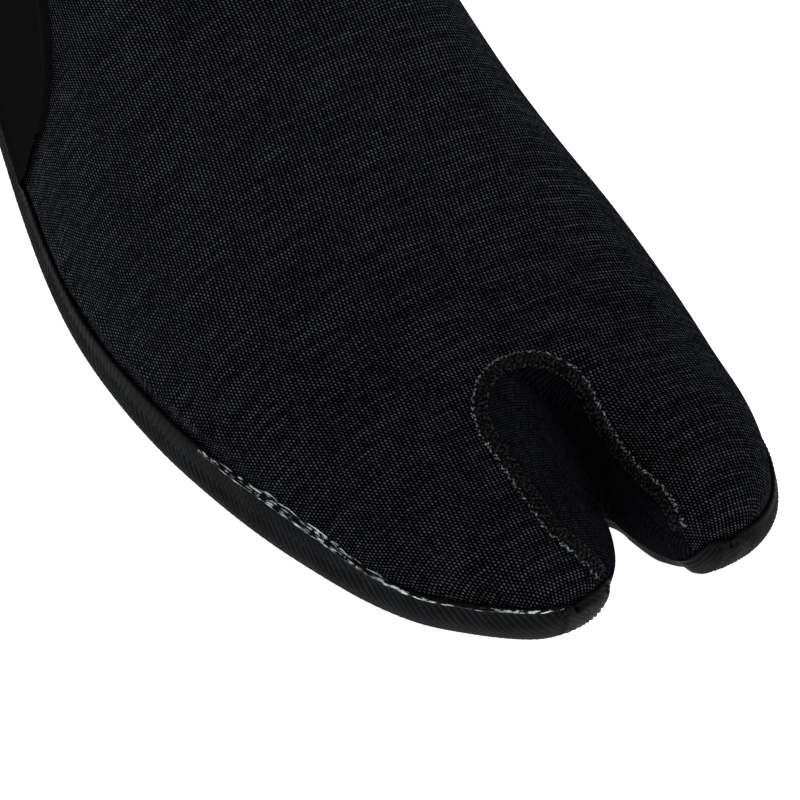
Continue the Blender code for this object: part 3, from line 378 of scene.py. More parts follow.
def makePiece(name, parts, node, materials):
    # joins grids into one mesh; each part has points, uv in millimetres / 100, flip, and its own marks
    verts, faces, uvs, marks, base = [], [], [], {}, 0
    markNames = sorted({key for part in parts for key in part.get("marks", {})})
    for part in parts:
        grid = part["points"]
        rows, columns = grid.shape[:2]
        cell = (np.arange(rows - 1)[:, None] * columns + np.arange(columns - 1)[None, :]).ravel()
        quad = np.stack((cell, cell + 1, cell + columns + 1, cell + columns), -1)
        quad = quad[:, ::-1] if part.get("flip") else quad
        uv = part.get("uv", grid[..., :2]) / 100
        verts.append(grid.reshape(-1, 3) * mm)
        faces.append(quad + base)
        uvs.append(uv.reshape(-1, 2)[quad.ravel()])
        for key in markNames:
            mark = np.broadcast_to(part.get("marks", {}).get(key, 0.0), (rows, columns))
            marks.setdefault(key, []).append(mark.ravel())
        base += rows * columns
    verts, faces, uvs = np.concatenate(verts), np.concatenate(faces), np.concatenate(uvs)
    mesh = bpy.data.meshes.new(name)
    mesh.vertices.add(len(verts))
    mesh.vertices.foreach_set("co", verts.ravel())
    mesh.loops.add(faces.size)
    mesh.loops.foreach_set("vertex_index", faces.ravel().astype(np.int32))
    mesh.polygons.add(len(faces))
    mesh.polygons.foreach_set("loop_start", np.arange(len(faces), dtype=np.int32) * 4)
    mesh.update(calc_edges=True)
    mesh.uv_layers.new(name="cloth").data.foreach_set("uv", uvs.ravel())
    for key in markNames:
        mesh.attributes.new(key, "FLOAT", "POINT").data.foreach_set("value", np.concatenate(marks[key]))
    work = bmesh.new()
    work.from_mesh(mesh)
    bmesh.ops.remove_doubles(work, verts=work.verts, dist=weldGap)
    work.to_mesh(mesh)
    work.free()
    mesh.polygons.foreach_set("use_smooth", np.ones(len(mesh.polygons), bool))
    for material in materials:
        mesh.materials.append(material)
    piece = bpy.data.objects.new(name, mesh)
    bpy.context.scene.collection.objects.link(piece)
    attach(piece, "root")
    if node:
        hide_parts(node)
    print(name, len(mesh.polygons), "faces")
    return piece


def thicken(piece, thick):
    # gives a skin its wall, inwards
    step = piece.modifiers.new("wall", "SOLIDIFY")
    step.thickness = thick * mm
    step.offset = -1
    step.use_rim = True
    step.material_offset = 1
    step.material_offset_rim = 0


# Upper
upperCloth = {
    "rowsBetween": 10, "rowApart": 0.03, "toeRows": 16, "ribFrom": 5.0, "ribLong": 60.0,
    # the hem's height, and its rows counted down from the collar's edge
    "hemStep": 0.7, "hemFrom": 0.73, "hemRise": 0.06, "hemRows": (0.76, 0.73, 0.70, 0.67, 0.64, 0.06, 0.02),
    "creases": (  # x, z, angle of the crease's line seen from the side, depth, width, length
        (92.0, 86.0, 0.9, 0.9, 5.0, 30.0),
        (84.0, 97.0, 0.7, 1.1, 6.0, 34.0),
        (-31.0, 92.0, -0.5, 0.8, 7.0, 26.0),
    ),
    "roll": 0.5, "rollAt": 1.9,  # the roll beside a crease, in shares of its depth and width
    # the ridge over the lip and the dip under it: how high, how far over the lip, how wide, and where it ends
    "lipRidge": 0.9, "ridgeAt": 4.2, "ridgeWide": 1.5, "dip": 0.5, "dipAt": 1.4, "dipWide": 0.9,
    "ridgeTo": 205.0, "ridgeFade": 40.0, "ridgeInside": 0.4,
}


def upperForm(grid, normal):
    # bell curves along the normal: troughs at the ankle and heel tendon, a low ridge over the rubber's lip
    x, y, z = np.moveaxis(grid, -1, 0)
    move = 0 * x
    for cx, cz, angle, depth, width, length in upperCloth["creases"]:
        ends = (((x - cx) * np.cos(angle) - (z - cz) * np.sin(angle)) / length) ** 2
        aside = (x - cx) * np.sin(angle) + (z - cz) * np.cos(angle)
        move -= depth * np.exp(-((aside / width) ** 2) - ends)
        beside = (aside - upperCloth["rollAt"] * width) / width
        move += upperCloth["roll"] * depth * np.exp(-(beside**2) - ends)
    over = z - lipHeight(x, y)
    ridge = np.exp(-(((over - upperCloth["ridgeAt"]) / upperCloth["ridgeWide"]) ** 2))
    dip = np.exp(-(((over - upperCloth["dipAt"]) / upperCloth["dipWide"]) ** 2))
    share = smoothStep((upperCloth["ridgeTo"] - x) / upperCloth["ridgeFade"])
    share = share * np.where(y < 0, 1.0, upperCloth["ridgeInside"])
    move += upperCloth["lipRidge"] * share * (ridge - upperCloth["dip"] * dip)
    return grid + normal * move[..., None]


def bodyRows():
    root = rowAt(split["rimRoot"])
    rows = np.linspace(last["rootRow"], lastRow, (lastRow - last["rootRow"]) * upperCloth["rowsBetween"] + 1)
    hem = lastRow - np.array(upperCloth["hemRows"])
    rows = np.concatenate(([root], rows[rows > root + upperCloth["rowApart"]], hem))
    return np.unique(np.round(rows, 5))


def upperParts():
    # sections carried from the split's root back and up to the collar, then each toe's pocket and inner front
    rows = bodyRows()
    rows[0] = rowAt(split["rimRoot"])
    lateral, medial = halfSection("lateral", rows), halfSection("medial", rows)
    body = np.concatenate((lateral, medial[:, -2::-1]), axis=1)
    normal = gridNormals(body)
    across = lengths(body, 1)
    across -= across[:, [lateral.shape[1] - 1]]
    along = lengths(body, 0)
    hem = smoothStep((rows - (lastRow - upperCloth["hemFrom"])) / upperCloth["hemRise"])[:, None]
    level = unit(normal * np.array((1, 1, 0)))
    formed = upperForm(body, normal) + level * (hem * upperCloth["hemStep"])[..., None]
    # rib mark: how much painted light on the ribs' middles and painted shade in their grooves the knit gets,
    # rising along the body from the split's root
    rib = smoothStep((along - upperCloth["ribFrom"]) / upperCloth["ribLong"])
    parts = [{"points": formed, "uv": np.stack((across, along), -1), "marks": {"rib": rib}}]
    rimX = np.unique(np.round(np.concatenate(splitStations()), 6))
    toeRows = rowAt(split["rimEnd"]) * (1 - np.linspace(0, 1, upperCloth["toeRows"] + 1)[1:])
    frontRows = np.concatenate(([rowAt(split["rimEnd"])], toeRows))
    for side in sides:
        rows = np.concatenate((rowAt(rimX), toeRows))
        ends = np.concatenate((rimY(side, rimX), edge(splitEdge[side], toeRows)[1]))
        pocket = halfSection(side, rows, ends)
        # the knit is laid out from each toe's crest
        length = lengths(pocket, 1)
        fromCrest = np.abs(pocket[:, lowColumns:, 1] - throughRows(crest[side][:, 0], rows)[:, None])
        nearest = np.argmin(fromCrest, axis=1)[:, None] + lowColumns
        u = -sideSign[side] * (length - np.take_along_axis(length, nearest, 1))
        u = u + (np.take_along_axis(pocket[..., 1], nearest, 1) - split["rimMiddle"])
        v = -lengths(np.stack((edge(side, rows)[0], throughRows(crest[side][:, 1], rows)), -1), 0)
        uv = np.stack((u, np.broadcast_to(v[:, None], u.shape)), -1)
        parts.append({"points": pocket, "uv": uv, "flip": side == "lateral"})
        x, y = edge(splitEdge[side], frontRows)
        front = splitArc(frontRows, x, y, *outward(splitEdge[side], frontRows), quarterDown)
        parts.append({"points": front, "uv": front[..., 1:], "flip": side == "lateral"})
    return parts


# Gusset between the toes
def gussetParts():
    # curves from the rim down to the valley line, then down each toe's side and under it
    backX, frontX = splitStations()
    line = valleyLine(backX)
    left, right = gussetCurve("lateral", backX, line), gussetCurve("medial", backX, line)
    valley = np.concatenate((left, right[:, -2::-1]), axis=1)
    parts = [{"points": valley, "uv": np.stack((valley[..., 0], lengths(valley, 1)), -1), "flip": True}]
    for side in sides:
        under = splitArc(rowAt(frontX), frontX, *splitFloorEdge(side, frontX), quarterDown)
        wall = np.concatenate((gussetCurve(side, frontX, under[:, 0]), under[:, 1:]), axis=1)
        uv = np.stack((wall[..., 0], lengths(wall, 1)), -1)
        parts.append({"points": wall, "uv": uv, "flip": side == "lateral"})
    return parts


# Rubber sole
sockSkin = {  # the grid that the rubber lies on: columns up the foot, rows along it
    "lowSteps": 60, "highSteps": 40, "evenColumn": 45, "rowStep": 0.42, "roughRows": (150, 170),
    "heelPast": 2.4, "crestRows": 5, "shortBy": 0.4, "shortFrom": 1.5, "shortRows": 2, "tipRows": 18,
    "splitFrom": 0.6, "splitRows": 1.5, "leastColumn": 0.05,
}
rubberWall = {
    "turnColumns": 5, "turnShare": 0.25, "wallColumns": 38, "thinFrom": 0.72, "lipThick": 0.9,
    "lipLift": (0.25, 0.45, 0.5, 0.35, 0.0), "lipTaper": (0.8, 0.6, 0.35, 0.12, 0.06), "lipShown": 0.7,
    "splitThin": 0.88, "heelFade": 0.5, "dropColumns": 45.0, "dropShare": 0.85,
    # slanted ridges, which fade out at both ends of their columns; a wander is its height, length, climb
    "ridgePitch": 1.6, "ridgeSlant": 0.82, "ridgeHigh": 0.46, "ridgeColumn": 24, "bareColumns": 4,
    "ridgeStart": (0.3, 0.7), "ridgeEnd": (0.9, 0.8, 0.7, 0.5, 0.3),
    "wander": ((0.5, 7.0, 0.0), (0.3, 3.1, 0.25)),
}


def splitPath(side):
    # stations from the toe tip along the split's edge to its root: rows, x, y and unit vectors into the split
    tipRows = rowAt(split["rimEnd"]) * np.linspace(0, 1, sockSkin["tipRows"])
    legX = splitStations()[1][::-1][1:]
    tip = (tipRows, *edge(splitEdge[side], tipRows), *outward(splitEdge[side], tipRows))
    leg = (rowAt(legX), legX, *splitFloorEdge(side, legX))
    return [np.concatenate(pair) for pair in zip(tip, leg)]


def readSkin(grid, at):
    # a grid's points at fractions of its columns, row by row
    at = np.clip(at, 0, grid.shape[1] - lastCell)
    i = at.astype(int)
    t = (at - i)[..., None]
    row = np.arange(len(grid))[:, None]
    return grid[row, i] * (1 - t) + grid[row, i + 1] * t


def soleSkin(side):
    # the sock's skin round one side: heel to toe tip to the split's root, from the floor up to the toe's
    # crest or the rim; reach is the lip's place in columns, above is the skin's height over it, and beside is
    # 1 deep in the split
    angle = np.linspace(0, np.pi / 2, sockSkin["lowSteps"] + 1)[None, :]
    step = np.linspace(0, 1, sockSkin["highSteps"] + 1)[None, 1:]

    def outerSkin(rows):
        outerY = edge(side, rows)[1]
        crestY = throughRows(crest[side][:, 0], np.minimum(rows, footCount - 1))
        toMiddle = smoothStep((rows - last["rootRow"]) / sockSkin["crestRows"])
        crestY += (throughRows(topY, rows) - crestY) * toMiddle
        short = sockSkin["shortBy"] * smoothStep((rows - sockSkin["shortFrom"]) / sockSkin["shortRows"])
        end = outerY + (crestY - outerY) * (1 - short)
        return np.concatenate((lowerArc(side, rows, angle), upperArc(side, rows, end, step)), 1)

    heelRows, frontRows = sockSkin["roughRows"]
    rough = np.linspace(heelRow + sockSkin["heelPast"], footCount, heelRows)
    rough = np.concatenate((rough, np.linspace(footCount, 0, frontRows)[1:]))
    run = lengths(outerSkin(rough)[:, sockSkin["evenColumn"]], 0)
    rows = np.interp(np.linspace(0, run[-1], int(run[-1] / sockSkin["rowStep"])), run, rough)
    path = splitPath(side)
    pathRows, pathX, pathY = path[:3]
    low = splitArc(*path, angle)
    tip = pathX > split["rimEnd"] - 1e-6
    toCrest = throughRows(crest[side][:, 0], pathRows[tip]) - pathY[tip]
    y = pathY[tip, None] + toCrest[:, None] * step**2
    # a grid of points on the toe's arch between the split's edge and its crest
    arch = [upperArc(side, pathRows[tip], column, np.ones((1, 1))) for column in y.T]
    wall = gussetCurve(side, pathX[~tip], low[~tip, -1], sockSkin["highSteps"])[:, ::-1][:, 1:]
    inner = np.concatenate((low, np.concatenate((np.concatenate(arch, 1), wall))), 1)[1:]
    skin = np.concatenate((outerSkin(rows), inner))
    over = skin[..., 2] - lipHeight(skin[..., 0], skin[..., 1])
    above = over.max(axis=1)
    first = np.argmax(over > 0, axis=1)
    pick = np.arange(len(skin))
    before, after = over[pick, np.maximum(first - 1, 0)], over[pick, first]
    reach = np.where(first > 0, first - 1 + before / np.minimum(before - after, -tiny), 0.0)
    reach = np.where(above > 0, reach, skin.shape[1] - lastCell)
    columnMm = readSkin(np.gradient(lengths(skin, 1), axis=1)[..., None], reach[:, None])[..., 0]
    inSplit = smoothStep((pathRows[1:] - sockSkin["splitFrom"]) / sockSkin["splitRows"])
    return {
        "points": skin, "normal": gridNormals(skin) * sideSign[side],
        "rows": np.concatenate((rows, np.zeros(len(inner)))), "reach": reach, "above": above,
        "beside": np.concatenate((0 * rows, inSplit)),
        "columnMm": np.maximum(columnMm, sockSkin["leastColumn"]),
    }


def wallShares():
    # for each column of the wall: its share of the way to the lip, lift over it, thickness and ridges
    turn, rolled = rubberWall["turnShare"], len(rubberWall["lipLift"])
    share = np.linspace(0, turn, rubberWall["turnColumns"] + 1)[:-1]
    share = np.concatenate((share, np.linspace(turn, 1, rubberWall["wallColumns"])))
    full = sole["wall"] + last["gap"]
    thin = smoothStep((share - rubberWall["thinFrom"]) / (1 - rubberWall["thinFrom"]))
    thick = np.concatenate((full - (full - rubberWall["lipThick"]) * thin, rubberWall["lipTaper"]))
    lift = np.concatenate((0 * share, rubberWall["lipLift"]))
    bare, start, end = np.zeros(rubberWall["bareColumns"]), rubberWall["ridgeStart"], rubberWall["ridgeEnd"]
    ridged = np.ones(len(thick) - 2 * len(bare) - len(start) - len(end))
    mask = np.concatenate((bare, start, ridged, end, bare))
    return np.concatenate((share, np.ones(rolled))), lift, thick, mask


def soleWall(side):
    # the rubber's wall on the skin: from the underside out and up, thinner towards its rounded lip, with
    # slanted ridges as a sine of the lengths along and up the wall
    sock = soleSkin(side)
    reach, beside = sock["reach"], sock["beside"][:, None]
    share, lift, thick, mask = wallShares()
    # the lip fades in where the toe's crest rises over it
    shown = smoothStep(sock["above"] / rubberWall["lipShown"])[:, None]
    at = reach[:, None] * share + lift * shown / sock["columnMm"]
    base, out = readSkin(sock["points"], at), unit(readSkin(sock["normal"], at))
    proud = thick * shown + np.maximum(thick, rubberWall["lipThick"]) * (1 - shown)
    wall = base + out * (proud * (1 - rubberWall["splitThin"] * beside))[..., None]
    bottom = underside(base[:, :1, 0], base[:, :1, 1])
    # the drop to the underside, which fades out up the back of the heel
    onFloor = sock["rows"] <= heelRow
    hold = 1 - smoothStep((sock["rows"] - heelRow) / rubberWall["heelFade"])[:, None]
    first = np.argmax(onFloor)
    drop = np.where(onFloor[:, None], wall[:, :1, 2] - bottom, (wall[first, 0, 2] - bottom[first]) * hold)
    fall = np.minimum(rubberWall["dropColumns"], rubberWall["dropShare"] * np.maximum(reach, 1.0))[:, None]
    wall[..., 2] -= drop * (1 - np.clip(at / fall, 0, 1)) ** 2
    wall[..., 2] = np.maximum(wall[..., 2], 0.0)
    wall[:, 0, :2] += (base[:, 0, :2] - wall[:, 0, :2]) * hold
    along = lengths(wall[:, rubberWall["ridgeColumn"]], 0)[:, None]
    up = lengths(wall, 1)
    wander = sum(high * np.sin(along / long + up * climb) for high, long, climb in rubberWall["wander"])
    turns = (along + rubberWall["ridgeSlant"] * up + wander) / rubberWall["ridgePitch"]
    # ridge is the ridges' height, 0 to 1; as the ridged mark it also sets the painted highlight on the ridge
    # tops and painted shade in the grooves
    ridge = (0.5 + 0.5 * np.sin(2 * np.pi * turns)) * mask * (1 - beside)
    wall = wall + out * (rubberWall["ridgeHigh"] * (ridge - 0.5 * mask))[..., None]
    uv = np.stack((np.broadcast_to(along, up.shape), up), -1)
    return {"points": wall, "uv": uv, "flip": side == "lateral", "marks": {"ridged": ridge}}


def soleFloorY(side, x):
    at = np.linspace(0, heelRow, sole["edgePoints"])
    edgeX = throughRows(floorEdge[side][0], at, floorEdge[side][0][1])
    return np.interp(-x, -edgeX, throughRows(floorEdge[side][1], at))


def soleBottom():
    # the underside with flex grooves: heel to the split's root in two halves, then each toe pocket
    floors = {side: splitArc(*splitPath(side), np.zeros((1, 1)))[:, 0] for side in sides}
    rootX, tipX = floors["lateral"][-1, 0], floors["lateral"][0, 0]
    heelX = ankleRows[heelRow - footCount, 0]
    grooves, half, soft = np.array(sole["grooves"]), sole["grooveWide"] / 2, sole["grooveSoft"]
    borders = grooves[:, None] + half * np.array((-1 - soft, soft - 1, 1 - soft, 1 + soft))
    backX = np.unique(np.concatenate((np.linspace(heelX, rootX, sole["backRows"]), borders[borders < rootX])))
    frontX = np.unique(np.concatenate((np.linspace(rootX, tipX, sole["toeRows"]), borders[borders > rootX])))
    middle = split["floorMiddle"] * smoothStep((backX - sole["middleFrom"]) / (rootX - sole["middleFrom"]))
    parts = []
    for side in sides:
        innerY = np.interp(frontX, floors[side][::-1, 0], floors[side][::-1, 1])
        for x, far in ((backX, middle), (frontX, innerY)):
            near = soleFloorY(side, x)
            y = near[:, None] + (far - near)[:, None] * np.linspace(0, 1, sole["bottomColumns"])[None, :]
            wide = np.broadcast_to(x[:, None], y.shape)
            off = np.min(np.abs(x[:, None] - grooves), axis=1)[:, None]
            groove = sole["grooveDeep"] * (1 - smoothStep((off / half - (1 - soft)) / (2 * soft)))
            flat = np.stack((wide, y, underside(wide, y) + groove), -1)
            parts.append({"points": flat, "uv": flat[..., :2], "flip": side == "medial"})
    return parts


# Glue squeezed out along the lip on the small toes' side
glueSmear = {
    "rows": (8.3, 8.0, 7.5, 7.0, 6.5, 6.0, 5.5, 5.0, 4.5, 4.0, 3.5, 3.0, 2.5, 2.0, 1.5, 1.0, 0.7, 0.5),
    "wide": (0.0, 0.6, 1.1, 1.5, 1.7, 1.6, 1.2, 0.7, 0.3, 0.2, 0.2, 0.3, 0.4, 0.4, 0.3, 0.2, 0.1, 0.0),
    "columns": 14, "onRubber": 0.4, "least": 0.15, "film": 0.12, "thinUnder": 1 / 3,
    "even": 0.7, "ragged": ((0.18, 2.3, 0.0), (0.12, 0.9, 1.0)),  # height, length and start of each sine
    "overRubber": 0.1, "stepFrom": 0.1, "stepLong": 0.6, "edgeSunk": 0.3, "sunkShare": 0.15,
}


def glueParts():
    # a thin ragged film from the rubber's lip onto the fabric; its width wanders as a sum of sines
    sock = soleSkin("lateral")
    rows = sock["rows"]
    keep = (rows < glueSmear["rows"][0]) & (rows > glueSmear["rows"][-1]) & (sock["above"] > 0)
    skin, normal = sock["points"][keep], sock["normal"][keep]
    wide = np.interp(-rows[keep], -np.array(glueSmear["rows"]), glueSmear["wide"])[:, None]
    along = lengths(skin[:, sockSkin["evenColumn"]], 0)[:, None]
    sines = [high * np.sin(along / long + start) for high, long, start in glueSmear["ragged"]]
    ragged = glueSmear["even"] + sum(sines)
    share = np.linspace(0, 1, glueSmear["columns"])[None, :]
    run = (glueSmear["onRubber"] + glueSmear["least"] + wide * ragged) * share - glueSmear["onRubber"]
    at = sock["reach"][keep][:, None] + run / sock["columnMm"][keep]
    step = rubberWall["lipThick"] + glueSmear["overRubber"]
    step = step * (1 - smoothStep((run - glueSmear["stepFrom"]) / glueSmear["stepLong"]))
    # the film's edge lies inside the rubber, so no border shows
    sunk = glueSmear["edgeSunk"] * (1 - smoothStep(share / glueSmear["sunkShare"]))
    film = glueSmear["film"] * np.minimum(wide / glueSmear["thinUnder"], 1)
    points = readSkin(skin, at) + readSkin(normal, at) * (step - sunk + film)[..., None]
    uv = np.stack((np.broadcast_to(along, run.shape), run), -1)
    return [{"points": points, "uv": uv, "flip": True}]


# Insole
insolePad = {"clear": 0.5, "thick": 3.0}


def insoleParts():
    # the underside's grid, drawn in at its outer edge and lifted to the top of the pad
    parts = []
    for part in soleBottom():
        flat = part["points"].copy()
        x, y = flat[..., 0], flat[..., 1]
        flat[:, 0, 1] -= np.sign(flat[:, 0, 1] - flat[:, -1, 1]) * insolePad["clear"]
        flat[..., 2] = floorHeight(x, y) + insolePad["thick"]
        parts.append({"points": flat, "uv": flat[..., :2], "flip": not part["flip"]})
    return parts


# Heel counter
counter = {  # x and z of its upper edge seen from the side, then its thickness, edges and grid
    "x": np.array((104.0, 104.2, 103.2, 99.0, 93.0, 85.0, 72.0, 50.0, 22.0, -12.0, -50.0)),
    "z": np.array((10.0, 28.0, 38.5, 46.0, 50.5, 54.5, 60.5, 70.5, 82.0, 93.0, 100.0)),
    "thick": 1.0, "aboveLip": 0.5, "edgeBead": 0.55, "beadAt": 1.0, "beadWide": 2.2 / 2.6, "rolled": 0.8,
    "seamWide": 1.2, "least": 0.05, "edgePoints": 400, "beyond": -200.0,
    "edgeDepths": np.append(np.linspace(0, 3.52, 12), np.linspace(5.0, 12.0, 6)),
    "rows": np.linspace(0.1, 15.5, 420), "lowSteps": 60, "highSteps": 120, "panelColumns": 40, "rowLong": 0.5,
}


def counterPart(side):
    # the upper's skin between the rubber's lip and the counter's curved upper edge, row by row round the heel
    section = halfSection(side, footCount + counter["rows"], None, counter["lowSteps"], counter["highSteps"])
    normal = gridNormals(section) * -sideSign[side]
    body = upperForm(section, normal)
    knots = np.linspace(0, len(counter["x"]) - 1, counter["edgePoints"])
    edgeX, edgeZ = throughRows(counter["x"], knots), throughRows(counter["z"], knots)
    limit = np.interp(body[..., 2], edgeZ, edgeX, right=counter["beyond"])
    lipZ = lipHeight(body[..., 0], body[..., 1]) + counter["aboveLip"]
    length = lengths(section, 1)

    def crossing(values):
        # running length at which values first rises over zero along each row
        first = np.argmax(values > 0, axis=1)
        i = np.maximum(first, 1)
        pick = np.arange(len(values))
        a, b = values[pick, i - 1], values[pick, i]
        part = np.clip(a / np.minimum(a - b, -tiny), 0, 1)
        at = length[pick, i - 1] + (length[pick, i] - length[pick, i - 1]) * part
        return np.where(first > 0, at, 0.0)

    def rolled(inward):
        # a quarter circle that lets an edge sink to the fabric
        return np.sqrt(np.clip(1 - (1 - np.clip(inward / counter["rolled"], 0, 1)) ** 2, 0, 1))

    start, stop = crossing(body[..., 2] - lipZ), crossing(body[..., 0] - limit)
    keep = stop > start + counter["least"]
    body, normal, length, start, stop = body[keep], normal[keep], length[keep], start[keep], stop[keep]
    span = (stop - start)[:, None]
    near = np.minimum(counter["edgeDepths"][None, :], span)
    far = near[:, -1:] + (span - near[:, -1:]) * np.linspace(0, 1, counter["panelColumns"])[None, 1:]
    depth = np.concatenate((near, far), axis=1)
    at = stop[:, None] - depth
    i = np.array([np.searchsorted(row, want, side="right") for row, want in zip(length, at)]) - 1
    i = np.clip(i, 0, length.shape[1] - 2)
    pick = np.arange(len(length))[:, None]
    t = ((at - length[pick, i]) / np.maximum(length[pick, i + 1] - length[pick, i], tiny))[..., None]
    base = body[pick, i] * (1 - t) + body[pick, i + 1] * t
    out = normal[pick, i] * (1 - t) + normal[pick, i + 1] * t
    bead = np.exp(-(((depth - counter["beadAt"]) / counter["beadWide"]) ** 2)) * counter["edgeBead"]
    proud = (last["gap"] + counter["thick"] + bead) * np.minimum(rolled(depth), rolled(span - depth))
    uv = np.stack((np.broadcast_to(pick * counter["rowLong"], depth.shape), depth), -1)
    seamMark = np.exp(-(((depth - counter["beadAt"]) / counter["seamWide"]) ** 2))
    points = base + out * proud[..., None]
    return {"points": points, "uv": uv, "flip": side == "lateral", "marks": {"seam": seamMark}}


# Camera
shot = {"azimuth": 60.75, "elevation": 53.1, "roll": 2.25, "distance": 1300.0, "pixelsPerMm": 5.1,
        "target": (180.0, 0.0, 20.0), "targetPixel": (437.0, 370.5), "image": 800.0, "sensor": 36.0}


def placeCamera():
    # a camera at the shot's angles, moved sideways and up so that the target lands on its pixel
    a, e, r = np.radians((shot["azimuth"], shot["elevation"], shot["roll"]))
    right = np.array((np.cos(a), np.sin(a), 0.0))
    level = np.array((-np.sin(a), np.cos(a), 0.0))
    ahead = level * np.cos(e) - np.array((0.0, 0.0, 1.0)) * np.sin(e)
    up = level * np.sin(e) + np.array((0.0, 0.0, 1.0)) * np.cos(e)
    right, up = right * np.cos(r) + up * np.sin(r), up * np.cos(r) - right * np.sin(r)
    aside = (shot["targetPixel"][0] - shot["image"] / 2) / shot["pixelsPerMm"]
    above = (shot["image"] / 2 - shot["targetPixel"][1]) / shot["pixelsPerMm"]
    place = np.array(shot["target"]) - ahead * shot["distance"] - right * aside - up * above
    data = bpy.data.cameras.new("photoCamera")
    data.sensor_width = shot["sensor"]
    data.lens = shot["sensor"] * shot["pixelsPerMm"] * shot["distance"] / shot["image"]
    data.clip_start, data.clip_end = 0.05, 20.0
    camera = bpy.data.objects.new("photoCamera", data)
    axes = np.column_stack((right, up, -ahead))
    camera.matrix_world = Matrix.Translation((place * mm).tolist()) @ Matrix(axes.tolist()).to_4x4()
    bpy.context.scene.collection.objects.link(camera)
    bpy.context.scene.camera = camera
    print("camera placed")


def hexColour(text):
    # sRGB hex to linear, by the sRGB curve
    value = np.array([int(text[i:i + 2], 16) / 255 for i in (1, 3, 5)])
    linear = np.where(value <= 0.04045, value / 12.92, ((value + 0.055) / 1.055) ** 2.4)
    return (*linear.tolist(), 1.0)


# Studio
studio = {
    "floor": "#ffffff", "floorGlow": 1.0, "floorRough": 0.9, "floorHalf": 4.0, "world": 0.24,
    "floorZ": -0.0003,  # metres: a hair under the sole, so that no two faces lie in one plane
    "lamps": (  # name, place in metres, aim, width, height, watts
        ("overheadSoftbox", (0.05, 0.1, 1.5), (0.14, 0.0, 0.0), 1.3, 1.0, 6.4),
        ("sideSoftbox", (0.75, 0.9, 0.75), (0.2, 0.02, 0.02), 0.8, 0.8, 3.2),
        ("edgeSoftbox", (-0.4, -0.9, 0.7), (0.14, -0.03, 0.02), 0.7, 0.7, 2.4),
    ),
}


def buildStudio():
    scene = bpy.context.scene
    scene.view_settings.view_transform = "Standard"
    scene.view_settings.look = "None"
    world = bpy.data.worlds.new("paleStudio")
    world.use_nodes = True
    world.node_tree.nodes["Background"].inputs["Color"].default_value = (1, 1, 1, 1)
    world.node_tree.nodes["Background"].inputs["Strength"].default_value = studio["world"]
    scene.world = world
    for name, place, aim, width, height, power in studio["lamps"]:
        data = bpy.data.lights.new(name, "AREA")
        data.shape, data.size, data.size_y, data.energy = "RECTANGLE", width, height, power
        lamp = bpy.data.objects.new(name, data)
        lamp.location = place
        lamp.rotation_euler = (Vector(aim) - Vector(place)).to_track_quat("-Z", "Y").to_euler()
        scene.collection.objects.link(lamp)
    mesh = bpy.data.meshes.new("paleFloor")
    corners = np.array(((-1, -1), (1, -1), (1, 1), (-1, 1))) * studio["floorHalf"]
    mesh.from_pydata([(x, y, studio["floorZ"]) for x, y in corners.tolist()], [], [(0, 1, 2, 3)])
    floor = bpy.data.objects.new("paleFloor", mesh)
    paint = bpy.data.materials.new("whiteBackdropPaper")
    paint.use_nodes = True
    shader = paint.node_tree.nodes["Principled BSDF"]
    shader.inputs["Base Color"].default_value = hexColour(studio["floor"])
    shader.inputs["Roughness"].default_value = studio["floorRough"]
    shader.inputs["Specular IOR Level"].default_value = 0.0
    shader.inputs["Emission Color"].default_value = (1, 1, 1, 1)
    shader.inputs["Emission Strength"].default_value = studio["floorGlow"]
    mesh.materials.append(paint)
    scene.collection.objects.link(floor)
    print("lamps and floor placed")


def addNode(tree, kind, inputs, **settings):
    # one shader node: settings are its properties, inputs are numbers, colours or links for its sockets
    node = tree.nodes.new("ShaderNode" + kind)
    for key, value in settings.items():
        setattr(node, key, value)
    for key, value in inputs.items():
        if isinstance(value, bpy.types.NodeSocket):
            tree.links.new(value, node.inputs[key])
        else:
            node.inputs[key].default_value = value
    return node


def newMaterial(name, rough, specular):
    material = bpy.data.materials.new(name)
    material.use_nodes = True
    shader = material.node_tree.nodes["Principled BSDF"]
    shader.inputs["Roughness"].default_value = rough
    shader.inputs["Specular IOR Level"].default_value = specular
    print("material", name)
    return material, material.node_tree


def finishSurface(tree, tone, dark, light, height, strength, depth):
    # colour between two hex values by tone, and relief from height, its depth in millimetres
    shader = tree.nodes["Principled BSDF"]
    colour = addNode(tree, "Mix", {0: tone, 6: hexColour(dark), 7: hexColour(light)}, data_type="RGBA")
    tree.links.new(colour.outputs[2], shader.inputs["Base Color"])
    bump = addNode(tree, "Bump", {"Height": height, "Strength": strength, "Distance": depth * mm})
    tree.links.new(bump.outputs[0], shader.inputs["Normal"])


# Jersey knitted in polyester over neoprene foam: each stitch shows as one slanted dot of painted highlight,
# standing for the light its raised top catches, on near black. Lengths are in millimetres, and wander is how
# far the wales and courses stray.
upperKnit = {
    "name": "polyesterJersey", "dark": "#010102", "fleck": "#585b61", "wale": 0.78, "course": 0.66,
    "slant": 0.7, "sharp": 3.2, "rib": 0.06, "depth": 0.16, "streak": 0.9, "rough": 0.8, "specular": 0.0,
}
# Finer jersey between the toes, with the same painted highlight on its stitches, fainter.
gussetKnit = {
    "name": "fineJersey", "dark": "#040406", "fleck": "#292b32", "wale": 0.55, "course": 0.5,
    "slant": 0.6, "sharp": 1.1, "rib": 0.0, "depth": 0.12, "streak": 0.3, "rough": 0.8, "specular": 0.0,
}
